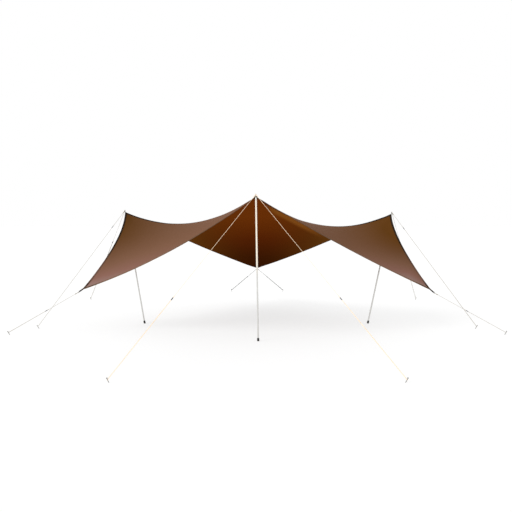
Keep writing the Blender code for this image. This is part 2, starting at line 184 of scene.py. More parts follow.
class Shell:
    """Points and faces that grow into one mesh, with a flat map in metres.

    What is added takes the material slot that is set at that time.
    """

    def __init__(self) -> None:
        """Starts with no points, at the first slot."""
        self.points: list[np.ndarray] = []
        self.faces: list[np.ndarray] = []
        self.maps: list[np.ndarray] = []
        self.slots: list[np.ndarray] = []
        self.count = 0
        self.slot = 0

    def add(self, points: np.ndarray, faces: np.ndarray, flat: np.ndarray | None = None) -> None:
        """Adds a block of faces with the same number of corners.

        Args:
            points: One row for each point.
            faces: One row of point numbers for each face, numbered within this block.
            flat: Two map coordinates for each corner of each face, or none.
        """
        if flat is None:
            flat = np.zeros((faces.size, 2))
        self.points.append(points)
        self.faces.append(faces + self.count)
        self.maps.append(flat.reshape(-1, 2))
        self.slots.append(np.full(len(faces), self.slot))
        self.count += len(points)

    def wall(self, rings: np.ndarray, flat: np.ndarray | None = None, closed: bool = False) -> None:
        """Joins rings of points one to the next, with a map that doesn't tear where a ring closes.

        Args:
            rings: Rings, points in a ring, and three coordinates.
            flat: The map: rings, points in a ring and one more, and two coordinates.
            closed: True if the last ring joins the first one.
        """
        total, sides = rings.shape[:2]
        low = np.arange(total if closed else total - 1)[:, None]
        side = np.arange(sides)[None, :]
        high = (low + 1) % total * sides
        after = (side + 1) % sides
        faces = np.stack(np.broadcast_arrays(low * sides + side, low * sides + after, high + after,
                                             high + side), axis=-1)
        if flat is None:
            flat = np.zeros((total + 1, sides + 1, 2))
        if closed:
            flat = np.concatenate([flat, flat[:1]])
        corners = np.stack([flat[low, side], flat[low, side + 1], flat[low + 1, side + 1],
                            flat[low + 1, side]], axis=2)
        self.add(rings.reshape(-1, 3), faces.reshape(-1, 4), corners)

    def cap(self, ring: np.ndarray, outward: np.ndarray) -> None:
        """Closes a ring with a fan of triangles.

        Args:
            ring: The ring's points.
            outward: The way that the triangles face.
        """
        middle = ring.mean(axis=0)
        sides = len(ring)
        side = np.arange(sides)
        faces = np.stack([np.full(sides, sides), side, (side + 1) % sides], axis=1)
        if np.cross(ring[0] - middle, ring[1] - middle) @ outward < 0:
            faces = faces[:, ::-1]
        self.add(np.concatenate([ring, middle[None]]), faces)

    def column(self, rings: np.ndarray, first: np.ndarray, last: np.ndarray,
               flat: np.ndarray | None = None) -> None:
        """A wall of rings that is capped at both ends.

        Args:
            rings: The rings.
            first: The way along the column at the first ring.
            last: The way along it at the last ring.
            flat: The map.
        """
        self.wall(rings, flat)
        self.cap(rings[0], -first)
        self.cap(rings[-1], last)

    def tube(self, path: np.ndarray, radius: float, sides: int = 12) -> None:
        """A round cord along a path. Its map runs from 0 to 1 round it, and in metres along it.

        Args:
            path: The middle line.
            radius: The cord's radius.
            sides: How many sides the cord has.
        """
        heading = unit(np.gradient(path, axis=0))
        side = unit(np.cross(heading[0], (0.31, 0.22, 0.93)))
        rings = np.empty((len(path), sides, 3))
        angle = np.arange(sides)[:, None] * FULL_TURN / sides
        for number, (spot, ahead) in enumerate(zip(path, heading)):
            side = unit(side - (side @ ahead) * ahead)
            rings[number] = spot + radius * (np.cos(angle) * side + np.sin(angle) * np.cross(ahead, side))
        flat = np.empty((len(path), sides + 1, 2))
        flat[..., 0] = np.arange(sides + 1) / sides
        flat[..., 1] = travel(path)[:, None]
        self.column(rings, heading[0], heading[-1], flat)

    def turned(self, profile: Profile, axes: Axes, sides: int = 40, on_ground: bool = False) -> None:
        """A solid turned about the up direction.

        Args:
            profile: Radius and height of each point, from bottom to top.
            axes: Where it stands and which way is up.
            sides: How many sides it has.
            on_ground: True if the lowest ring is cut level with the ground.
        """
        outline = np.asarray(profile, float)
        angle = np.arange(sides) * FULL_TURN / sides
        local = np.empty((len(outline), sides, 3))
        local[..., 0] = outline[:, :1] * np.cos(angle)
        local[..., 1] = outline[:, :1] * np.sin(angle)
        local[..., 2] = outline[:, 1:]
        if on_ground:
            aside = local[0, :, 0] * axes.out[2] + local[0, :, 1] * axes.across[2]
            local[0, :, 2] = -(axes.place[2] + aside) / axes.up[2]
        flat = np.empty((len(outline), sides + 1, 2))
        flat[..., 0] = np.arange(sides + 1) / sides * FULL_TURN * outline[:, 0].max()
        flat[..., 1] = outline[:, 1:]
        self.column(axes.at(local), axes.up, axes.up, flat)

    def hoop(self, profile: Profile, axes: Axes, sides: int = 48) -> None:
        """A ring turned about the up direction.

        Args:
            profile: Its closed section: radius and height of each point.
            axes: Where its middle is and which way is up.
            sides: How many sides it has.
        """
        outline = np.asarray(profile, float)
        after = np.roll(outline, -1, axis=0)
        if np.sum(outline[:, 0] * after[:, 1] - after[:, 0] * outline[:, 1]) > 0:
            outline = outline[::-1]
        angle = np.arange(sides)[:, None] * FULL_TURN / sides
        local = np.stack([outline[:, 0] * np.cos(angle), outline[:, 0] * np.sin(angle),
                          np.broadcast_to(outline[:, 1], (sides, len(outline)))], axis=-1)
        self.wall(axes.at(local), None, True)

    def bars(self, places: np.ndarray, along: np.ndarray, up: np.ndarray, size: Place) -> None:
        """Small raised bars, such as stitches.

        Args:
            places: The middle of each one's base.
            along: The direction of each one.
            up: The direction that each one stands up in.
            size: Length, width and height.
        """
        along = unit(along)
        across = unit(np.cross(up, along))
        up = unit(np.cross(along, across))
        outline = BAR_CORNERS * (size[0] / 2, size[1] / 2, size[2])
        points = (places[:, None] + outline[None, :, :1] * along[:, None]
                  + outline[None, :, 1:2] * across[:, None] + outline[None, :, 2:] * up[:, None])
        faces = BAR_FACES[None] + 8 * np.arange(len(places))[:, None, None]
        self.add(points.reshape(-1, 3), faces.reshape(-1, 4))

    def band(self, lines: np.ndarray, ups: np.ndarray, low: float, high: float,
             closed: bool = False) -> None:
        """A flat band with square edges.

        Args:
            lines: Lines side by side, each with the same number of points: lines, points, coordinates.
            ups: The direction square to the band at each of those points.
            low: How far its underside lies along those directions.
            high: How far its top lies along them.
            closed: True if every line ends where it starts.
        """
        heading = lines[0, 1] - lines[0, 0]
        if np.cross(lines[-1, 0] - lines[0, 0], heading) @ ups[0, 0] > 0:
            lines = lines[::-1]
            ups = ups[::-1]
            heading = lines[0, 1] - lines[0, 0]
        count = len(lines)
        steps = np.linalg.norm(np.diff(lines, axis=0), axis=2).mean(axis=1)
        across = np.concatenate([[0.0], np.cumsum(steps)])
        loop = np.concatenate([lines + ups * low, (lines + ups * high)[::-1]])
        rings = np.transpose(loop, (1, 0, 2))
        sides = np.concatenate([across, across[::-1], across[:1]])
        flat = np.empty((len(rings), len(sides), 2))
        flat[..., 0] = sides
        flat[..., 1] = travel(lines[count // 2])[:, None]
        self.wall(rings, flat, closed)
        if closed:
            return
        grid = np.arange(count - 1)
        last = 2 * count - 1
        quads = np.stack([grid, grid + 1, last - grid - 1, last - grid], axis=1)
        for ring, way in ((rings[0], -1.0), (rings[-1], 1.0)):
            turn = np.cross(ring[1] - ring[0], ring[last] - ring[0]) @ heading * way
            self.add(ring, quads if turn > 0 else quads[:, ::-1])

    def build(self, name: str, finishes: Sequence[str], sharp: float = 35.0,
              weld: float = 0.0) -> bpy.types.Object:
        """Makes the object.

        Args:
            name: The object's name.
            finishes: The name of the material in each slot.
            sharp: The least angle between faces, in degrees, that stays a sharp edge.
            weld: How close points are joined, in metres, or 0.

        Returns:
            The object, linked to the scene, with smooth shading.
        """
        mesh = bpy.data.meshes.new(name)
        faces = [tuple(face) for block in self.faces for face in block.tolist()]
        mesh.from_pydata(np.concatenate(self.points).tolist(), [], faces)
        layer = mesh.uv_layers.new(name="cut")
        layer.data.foreach_set("uv", np.concatenate(self.maps).astype(np.float32).ravel())
        mesh.polygons.foreach_set("material_index", np.concatenate(self.slots).astype(np.int32))
        for finish in finishes:
            mesh.materials.append(bpy.data.materials[finish])
        made = bpy.data.objects.new(name, mesh)
        bpy.context.scene.collection.objects.link(made)
        if weld:
            joined = bmesh.new()
            joined.from_mesh(mesh)
            bmesh.ops.remove_doubles(joined, verts=joined.verts, dist=weld)
            joined.to_mesh(mesh)
            joined.free()
        mesh.shade_smooth()
        mesh.set_sharp_from_angle(angle=math.radians(sharp))
        mesh.update()
        return made

    def piece(self, name: str, slot: str, finishes: Sequence[str], *nodes: str, sharp: float = 35.0,
              weld: float = 0.0) -> bpy.types.Object:
        """Makes the object and puts it on the tarp.

        Args:
            name: The piece's name.
            slot: The record's material slot; it is not used.
            finishes: The name of the material in each slot of the mesh.
            nodes: The frame's nodes that it stands for.
            sharp: As in build.
            weld: As in build.

        Returns:
            The piece.
        """
        made = self.build(name, finishes, sharp, weld)
        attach(made, "root")
        if nodes:
            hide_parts(*nodes)
        LOG.info("%s: %d faces", name, len(made.data.polygons))
        return made


# Materials


def linear(red: float, green: float, blue: float) -> Colour:
    """A display colour, given as 0 to 255, as the linear values that shaders take."""
    shares = [value / 255 for value in (red, green, blue)]
    return tuple(share / 12.92 if share <= 0.04045 else ((share + 0.055) / 1.055) ** 2.4 for share in shares)


def operator(operation: str, reflected: bool = False) -> Callable[["Shade", "Value"], "Shade"]:
    """An operator of a number that varies over a surface.

    Args:
        operation: The operation of the Math node that it adds.
        reflected: True if the other value comes first.

    Returns:
        The method.
    """
    def method(self: "Shade", other: "Value") -> "Shade":
        """The operator's result."""
        return self.math(operation, other, self) if reflected else self.math(operation, self, other)

    return method


class Shade:
    """A number that varies over a surface. Python's operators on it add Math nodes."""

    def __init__(self, paint: "Paint", socket: bpy.types.NodeSocket) -> None:
        """Wraps a socket of that paint's node tree."""
        self.paint = paint
        self.socket = socket

    def math(self, operation: str, *values: "Value") -> "Shade":
        """The result of a Math node with these values in its sockets."""
        return self.paint.number("ShaderNodeMath", {"operation": operation}, dict(enumerate(values)))

    __add__ = operator("ADD")
    __radd__ = operator("ADD", True)
    __sub__ = operator("SUBTRACT")
    __rsub__ = operator("SUBTRACT", True)
    __mul__ = operator("MULTIPLY")
    __rmul__ = operator("MULTIPLY", True)
    __truediv__ = operator("DIVIDE")
    __gt__ = operator("GREATER_THAN")

    def sine(self) -> "Shade":
        """The sine of it."""
        return self.math("SINE", self)

    def clamped(self) -> "Shade":
        """The same, kept from going over 1."""
        return self.math("MINIMUM", self, 1.0)

    def part(self) -> "Shade":
        """What is left over a whole number."""
        return self.math("FRACT", self)

    def over_zero(self) -> "Shade":
        """The same, kept from going under 0."""
        return self.math("MAXIMUM", self, 0.0)

    def between(self, low: float, high: float) -> "Shade":
        """A soft rise from 0 at low to 1 at high."""
        sockets = {"Value": self, "From Min": low, "From Max": high}
        return self.paint.number("ShaderNodeMapRange", {"interpolation_type": "SMOOTHSTEP"}, sockets)


Value = float | tuple | Shade | bpy.types.NodeSocket


class Paint:
    """The node tree of one material."""

    def __init__(self, name: str, **constants: Value) -> None:
        """Starts a material with a Principled shader.

        Args:
            name: The material's name.
            constants: Values of the shader's own sockets, with _ for a space in their names.
        """
        self.material = bpy.data.materials.new(name)
        self.material.use_nodes = True
        self.tree = self.material.node_tree
        self.shader = self.tree.nodes["Principled BSDF"]
        for socket, value in constants.items():
            self.feed(self.shader, socket.replace("_", " "), value)

    def feed(self, node: bpy.types.Node, socket: int | str, value: Value) -> None:
        """Sets a socket's value, or links it.

        Args:
            node: The node.
            socket: The socket's number or name.
            value: What goes into it.
        """
        place = node.inputs[socket]
        if isinstance(value, Shade):
            value = value.socket
        if isinstance(value, bpy.types.NodeSocket):
            self.tree.links.new(value, place)
        elif place.type == "RGBA":
            place.default_value = (*value, 1.0)
        else:
            place.default_value = value

    def node(self, kind: str, settings: dict | None = None, sockets: dict | None = None) -> bpy.types.Node:
        """Adds a node.

        Args:
            kind: The node's type.
            settings: Its own properties; "stops" are the places and colours of a colour ramp.
            sockets: The values or links of its sockets, by number or name.

        Returns:
            The node.
        """
        made = self.tree.nodes.new(kind)
        settings = dict(settings or {})
        for number, (place, colour) in enumerate(settings.pop("stops", ())):
            elements = made.color_ramp.elements
            stop = elements[number] if number < 2 else elements.new(place)
            stop.position = place
            stop.color = (*colour, 1.0)
        for key, value in settings.items():
            setattr(made, key, value)
        for socket, value in (sockets or {}).items():
            self.feed(made, socket, value)
        return made

    def number(self, kind: str, settings: dict | None = None, sockets: dict | None = None) -> Shade:
        """Adds a node and gives its first output as a number."""
        return Shade(self, self.node(kind, settings, sockets).outputs[0])

    def place(self, scale: float | Place = 1.0) -> bpy.types.NodeSocket:
        """The point's place on the tarp in metres, times a scale, or one scale for each direction."""
        sockets = {0: self.node("ShaderNodeTexCoord").outputs["Object"], 1: np.broadcast_to(scale, 3)}
        return self.node("ShaderNodeVectorMath", {"operation": "MULTIPLY"}, sockets).outputs[0]

    def parts(self, vector: bpy.types.NodeSocket) -> list[Shade]:
        """The three coordinates of a vector."""
        outputs = self.node("ShaderNodeSeparateXYZ", None, {0: vector}).outputs
        return [Shade(self, output) for output in outputs]

    def cut_map(self) -> list[Shade]:
        """The two coordinates of the piece's own flat map."""
        return self.parts(self.node("ShaderNodeUVMap", {"uv_map": "cut"}).outputs[0])[:2]

    def spot(self) -> list[Shade]:
        """How far to the right, to the back and above the ground the point is, in metres."""
        return self.parts(self.place())

    def height(self) -> Shade:
        """How high above the ground the point is."""
        return self.spot()[2]

    def cloudy(self, scale: float | Place, detail: float = 3.0) -> Shade:
        """Soft noise from 0 to 1, with that many clouds in a metre and that many finer layers."""
        sockets = {"Vector": self.place(scale), "Scale": 1.0, "Detail": detail}
        return self.number("ShaderNodeTexNoise", None, sockets)

    def mix(self, share: Value, one: Value, two: Value) -> bpy.types.NodeSocket:
        """A colour that goes from one to two as the share goes from 0 to 1."""
        return self.node("ShaderNodeMix", {"data_type": "RGBA"}, {0: share, 6: one, 7: two}).outputs[2]

    def bump(self, height: Shade, distance: float, strength: float, under: Value | None = None) -> Value:
        """A Bump node.

        Args:
            height: The height, from 0 to 1.
            distance: How high 1 is, in metres.
            strength: How much of it shows.
            under: The normal that it goes on top of.

        Returns:
            The bumped normal.
        """
        sockets = {"Height": height, "Distance": distance, "Strength": strength}
        if under is not None:
            sockets["Normal"] = under
        return self.node("ShaderNodeBump", None, sockets).outputs[0]

    def dress(self, colour: Value, roughness: Value, normal: Value | None = None) -> None:
        """Feeds the shader.

        Args:
            colour: The base colour.
            roughness: The roughness.
            normal: The normal, or none.
        """
        self.feed(self.shader, "Base Color", colour)
        self.feed(self.shader, "Roughness", roughness)
        if normal is not None:
            self.feed(self.shader, "Normal", normal)


@dataclass(frozen=True)
class ClothFinish:
    """Coated woven cloth with a fine weave and soft creases. Each face fades in its own way."""

    name: str
    stops: tuple[tuple[float, Colour], ...]
    gloss: float = 0.05
    roughness: float = 0.85
    thread: float = 0.0011
    weave_height: float = 0.0001
    crease_height: float = 0.004
    slubs: Place = (90.0, 6.0, 30.0)
    clouds: float = 0.9
    creases: Place = (3.4, 2.6, 3.4)

    def fade(self, paint: Paint) -> Shade:
        """How far along the stops the colour is."""
        raise NotImplementedError

    def glow(self, paint: Paint, colour: bpy.types.NodeSocket) -> bpy.types.NodeSocket:
        """The colour with what shines through the cloth or on it."""
        raise NotImplementedError

    def make(self) -> None:
        """Makes the material."""
        paint = Paint(self.name, Specular_IOR_Level=self.gloss)
        across, along = paint.cut_map()
        turn = FULL_TURN / self.thread
        slubs = paint.cloudy(self.slubs, 2.0)
        weave = (across * turn).sine() * (along * turn).sine() * 0.5 + slubs * 0.6 + 0.2
        clouds = paint.cloudy(self.clouds, 4.0)
        share = self.fade(paint) + (clouds - 0.5) * 0.14 + (slubs - 0.5) * 0.10
        ramp = paint.node("ShaderNodeValToRGB", {"stops": self.stops}, {0: share})
        creases = paint.bump(paint.cloudy(self.creases), self.crease_height, 0.6)
        normal = paint.bump(weave, self.weave_height, 0.5, creases)
        paint.dress(self.glow(paint, ramp.outputs[0]), self.roughness + (clouds - 0.5) * 0.16, normal)


@dataclass(frozen=True)
class OuterCloth(ClothFinish):
    """The outer face, with painted sheen and shade: it pales towards the low corners, most at the front, and
    a little in the middle.
    """

    pale_from: float = 2.0
    rear: Span = (-0.3, 1.0)
    rear_calm: float = 0.7
    half_width: float = 2.6
    right_tip: Span = (2.75, 3.15)
    golden: Colour = (0.105, 0.036, 0.004)
    golden_from: float = 1.2
    golden_rise: float = 0.3
    golden_heights: Span = (1.2, 1.7)

    def fade(self, paint: Paint) -> Shade:
        """Painted sheen: 0 at the side poles, about 0.5 at the front tip and 1 at the low corners.

        Args:
            paint: The material's node tree.

        Returns:
            How far along the stops the colour is.
        """
        across, back, height = paint.spot()
        # Painted sheen: paler the lower the cloth hangs, most at the front, as glare off the bright floor.
        below = (self.pale_from - height).over_zero()
        painted_sheen = below * below * (across * 0.03 + 0.94) * (1.0 - back.between(*self.rear) * self.rear_calm)
        # Painted light and shade: a little paler in the middle, a little darker towards the right, and darker
        # still at the right tip.
        middle = (self.half_width ** 2 - across * across) * 0.08
        return painted_sheen + middle - across * 0.015 - across.between(*self.right_tip) * 0.28 - 0.05

    def glow(self, paint: Paint, colour: bpy.types.NodeSocket) -> bpy.types.NodeSocket:
        """Painted shade: a little more golden high on the right wing, away from the sun.

        Args:
            paint: The material's node tree.
            colour: The faded colour.

        Returns:
            The colour that shows.
        """
        across, _, height = paint.spot()
        # Painted shade: a more golden tone high on the right wing, away from the sun.
        share = (across - self.golden_from).over_zero() * self.golden_rise
        return paint.mix(share * height.between(*self.golden_heights), colour, self.golden)


@dataclass(frozen=True)
class InnerCloth(ClothFinish):
    """The inner face: it is darker the lower it hangs, where less light comes through."""

    gloss: float = 0.0
    lowest: float = 0.85
    highest: float = 2.09
    golden: Colour = (0.109, 0.038, 0.0050)
    golden_rise: float = 0.45
    sunlit: Colour = (0.205, 0.066, 0.009)
    sunlit_lean: float = 2.18
    sunlit_start: Span = (4.86, 5.0)
    sunlit_end: Span = (5.3, 5.8)
    sunlit_across: Span = (0.12, 0.35)
    sunlit_heights: Span = (1.6, 1.95)

    def fade(self, paint: Paint) -> Shade:
        """0 at the lowest part and 1 at the top."""
        return (paint.height() - self.lowest) / (self.highest - self.lowest)

    def glow(self, paint: Paint, colour: bpy.types.NodeSocket) -> bpy.types.NodeSocket:
        """Painted light through the cloth: more golden away from the middle seam, and brightest in a strip
        beside the right ridge.

        Args:
            paint: The material's node tree.
            colour: The faded colour.

        Returns:
            The colour that shows.
        """
        across, _, height = paint.spot()
        # Painted glow of light through the cloth, more golden towards the ridges.
        golden = paint.mix((across * across * self.golden_rise).clamped(), colour, self.golden)
        lean = across + height * self.sunlit_lean
        strip = lean.between(*self.sunlit_start) * (1.0 - lean.between(*self.sunlit_end))
        shown = across.between(*self.sunlit_across) * height.between(*self.sunlit_heights)
        return paint.mix(strip * shown, golden, self.sunlit)


@dataclass(frozen=True)
class WebbingFinish:
    """Woven tape with a herringbone rib and painted shade between the ribs. It may turn paler lower down,
    above the tip, with painted sheen.
    """

    name: str
    dark: Colour
    light: Colour
    rib: float = 0.0022
    height: float = 0.0005
    sheen_colour: Colour | None = None
    sheen_below: Span = (1.0, 1.6)
    tip_ends: Span = (0.80, 0.95)

    def make(self) -> None:
        """Makes the material."""
        paint = Paint(self.name, Specular_IOR_Level=0.06)
        across, along = paint.cut_map()
        zigzag = (across / (self.rib * 6)).part() - 0.5
        zigzag = zigzag.math("ABSOLUTE", zigzag) * self.rib * 6
        ribs = ((along + zigzag) * (FULL_TURN / self.rib)).sine() * 0.5 + 0.5
        wear = paint.cloudy(14.0, 4.0)
        # Painted shade: darker between the ribs and lighter on them; the wear clouds are the tape's own tone.
        colour = paint.mix(ribs * 0.45 + wear * 0.5, self.dark, self.light)
        # Painted sheen: paler lower down, above the tip, as on the cloth's outer face.
        if self.sheen_colour is not None:
            place = paint.height()
            share = (1.0 - place.between(*self.sheen_below)) * place.between(*self.tip_ends)
            colour = paint.mix(share, colour, self.sheen_colour)
        paint.dress(colour, 0.72 + wear * 0.2, paint.bump(ribs, self.height, 0.7))


@dataclass(frozen=True)
class ThreadFinish:
    """Sewing thread with a slight twist."""

    name: str
    colour: Colour
    worn: Colour

    def make(self) -> None:
        """Makes the material."""
        paint = Paint(self.name, Specular_IOR_Level=0.35)
        twist = paint.bump(paint.cloudy(900.0, 1.0), 0.0002, 0.6)
        paint.dress(paint.mix(paint.cloudy(160.0, 2.0), self.colour, self.worn), 0.6, twist)


@dataclass(frozen=True)
class TubeFinish:
    """Satin silver tube: drawn lines along it, scuffs, and painted bounce light that makes it warmer and
    lighter higher up.
    """

    name: str
    bright: Colour
    dull: Colour
    warm: Colour
    metallic: float = 0.55
    warm_from: Span = (1.05, 1.4)

    def make(self) -> None:
        """Makes the material."""
        paint = Paint(self.name, Metallic=self.metallic, Specular_IOR_Level=0.5)
        lines = paint.cloudy((700.0, 700.0, 3.0), 2.0)
        scuffs = paint.cloudy((60.0, 60.0, 9.0), 5.0).between(0.58, 0.72)
        clouds = paint.cloudy((4.0, 4.0, 1.4))
        # Painted bounce light: warmer, and on the tubes lighter, higher up, as light thrown down from the
        # cloth.
        bounce_lit = paint.mix(paint.height().between(*self.warm_from), self.bright, self.warm)
        colour = paint.mix(scuffs * 0.35 + clouds * 0.45 + lines * 0.15, bounce_lit, self.dull)
        paint.dress(colour, 0.26 + lines * 0.10 + scuffs * 0.18, paint.bump(lines, 0.00008, 0.5))


@dataclass(frozen=True)
class ForgedFinish:
    """Steel with a hammered or plated skin and darker stains."""

    name: str
    bright: Colour
    dull: Colour
    roughness: float
    grain: float
    height: float

    def make(self) -> None:
        """Makes the material."""
        paint = Paint(self.name, Metallic=1.0)
        grain = paint.cloudy(self.grain, 4.0)
        stains = paint.cloudy(30.0, 4.0).between(0.45, 0.75)
        colour = paint.mix(stains * 0.6 + grain * 0.3, self.bright, self.dull)
        paint.dress(colour, self.roughness + stains * 0.22, paint.bump(grain, self.height, 0.6))


@dataclass(frozen=True)
class RubberFinish:
    """Moulded black rubber with dust low down."""

    name: str
    black: Colour
    dust: Colour
    dusty_below: float = 0.03

    def make(self) -> None:
        """Makes the material."""
        paint = Paint(self.name, Specular_IOR_Level=0.35)
        specks = paint.cloudy(150.0)
        low = 1.0 - paint.height().between(0.0, self.dusty_below)
        colour = paint.mix(specks * 0.25 + low * specks * 0.7, self.black, self.dust)
        paint.dress(colour, 0.62 + specks * 0.2, paint.bump(specks, 0.0004, 0.5))


@dataclass(frozen=True)
class RopeFinish:
    """Braided cord: strands that cross both ways round it, painted shade between them, and one strand in
    eight a little darker.
    """

    name: str
    pale: Colour
    deep: Colour
    strands: float = 8.0
    lay: float = 0.0062
    height: float = 0.0006

    def make(self) -> None:
        """Makes the material."""
        paint = Paint(self.name, Specular_IOR_Level=0.12)
        around, along = paint.cut_map()
        turns = around * self.strands
        steps = along / self.lay
        left = turns + steps
        braid = (left * FULL_TURN).sine() * ((turns - steps) * FULL_TURN).sine() * 0.5 + 0.5
        marked = (left / self.strands).part() > 1.0 - 1.0 / self.strands
        # Painted shade: darker between the strands; the marked strand and the clouds are the cord's own tone.
        share = marked * 0.35 + (1.0 - braid) * 0.30 + paint.cloudy(25.0) * 0.25
        paint.dress(paint.mix(share, self.pale, self.deep), 0.78, paint.bump(braid, self.height, 0.8))


@dataclass(frozen=True)
class AnodisedFinish:
    """Dark dyed metal that is rubbed bright at random spots."""

    name: str
    dark: Colour
    rubbed: Colour

    def make(self) -> None:
        """Makes the material."""
        paint = Paint(self.name, Metallic=0.75)
        grain = paint.cloudy(500.0, 2.0)
        rubs = paint.cloudy(110.0, 4.0).between(0.60, 0.74)
        colour = paint.mix(rubs * 0.6 + grain * 0.1, self.dark, self.rubbed)
        paint.dress(colour, 0.34 + grain * 0.12, paint.bump(grain, 0.0001, 0.4))


FINISHES = (
    OuterCloth("cloth_outer", ((0.0, (0.076, 0.0285, 0.0037)), (0.5, (0.150, 0.073, 0.0425)),
                               (0.75, (0.191, 0.094, 0.070)), (1.0, (0.235, 0.150, 0.132)))),
    InnerCloth("cloth_inner", ((0.0, (0.032, 0.0070, 0.0008)), (0.28, (0.043, 0.0088, 0.0010)),
                               (0.61, (0.084, 0.0148, 0.0015)), (1.0, (0.142, 0.0300, 0.0024)))),
    WebbingFinish("front_binding", linear(66, 48, 32), linear(96, 74, 54), sheen_colour=linear(116, 89, 72),
                  sheen_below=(1.2, 2.0)),
    WebbingFinish("side_binding", linear(24, 15, 7), linear(44, 30, 18), sheen_colour=linear(96, 70, 58)),
    WebbingFinish("back_binding", linear(46, 22, 8), linear(74, 38, 16)),
    WebbingFinish("ridge_tape", linear(24, 15, 8), linear(42, 29, 18)),
    WebbingFinish("corner_webbing", linear(22, 18, 15), linear(46, 38, 31), rib=0.003),
    ThreadFinish("seam_thread", linear(86, 62, 44), linear(122, 96, 76)),
    ThreadFinish("patch_thread", linear(60, 48, 38), linear(92, 76, 62)),
    TubeFinish("satin_tube", linear(214, 214, 212), linear(198, 194, 187), linear(255, 244, 224)),
    TubeFinish("bright_plug", linear(236, 234, 228), linear(206, 203, 196), linear(236, 232, 222), 0.45),
    ForgedFinish("plated_steel", linear(214, 214, 212), linear(150, 149, 146), 0.22, 260.0, 0.0001),
    ForgedFinish("dull_steel", linear(120, 118, 114), linear(84, 82, 79), 0.36, 260.0, 0.0001),
    ForgedFinish("forged_steel", linear(150, 148, 144), linear(88, 84, 80), 0.42, 120.0, 0.0006),
    RubberFinish("pole_rubber", linear(20, 20, 20), linear(84, 78, 70)),
    RopeFinish("cream_rope", linear(252, 232, 204), linear(226, 190, 150)),
    RopeFinish("grey_cord", linear(186, 180, 168), linear(150, 142, 130)),
    RopeFinish("dark_cord", linear(46, 44, 42), linear(30, 28, 26)),
    AnodisedFinish("slider_metal", linear(30, 29, 28), linear(150, 148, 144)),
)


# The sheet


@dataclass(frozen=True)
class TarpCut:
    """How the sheet is cut and hung: its corners, and how far the middle of each border is bowed.

    Corners are measured from the middle of the tarp, at the main pole's foot. The ring's corners are left
    low, left pole, back, right pole and right low. A bow is how far the middle of a border lies inward and
    upward of its chord: the left and right borders at the front, then those from corner to corner of the
    ring. The tarp is cut alike on both sides, but it isn't pitched quite evenly.
    """

    main_foot: Place = (0.017, 0.0, 0.0)
    front_tip: Place = (-0.023, -0.25, 2.38)
    ring: tuple[Place, ...] = ((-3.221, 0.90, 0.740), (-2.623, 1.75, 2.186), (0.0, 4.50, 0.830),
                               (2.669, 1.75, 2.150), (3.196, 0.90, 0.733))
    front_bows: tuple[Span, Span] = ((0.109, -0.125), (0.109, -0.031))
    ring_bows: tuple[Span, ...] = ((0.273, 0.078), (0.255, -0.110), (0.257, -0.103), (0.248, 0.117))
    ridge_pulls: Span = (1.075, 0.72)
    rows: int = 144
    flat_size: Span = (7.46, 5.0)
    flat_area: float = 15.4
    thickness: float = 0.001

    def border(self, start: Place, end: Place, bow: Span) -> np.ndarray:
        """Knots of a curved border.

        Args:
            start: Its first corner.
            end: Its last corner.
            bow: Its bow.

        Returns:
            One row for each knot.
        """
        chord = np.subtract(end, start)
        inward = unit((-chord[1], chord[0], 0.0))
        middle = np.array((0.0, (self.front_tip[1] + self.ring[2][1]) / 2, 0.0))
        if inward @ (middle - start) < 0:
            inward = -inward
        share = np.linspace(0.0, 1.0, self.rows + 1)[:, None]
        bowed = inward * bow[0] + np.array((0.0, 0.0, bow[1]))
        return start + share * chord + 4 * share * (1 - share) * bowed


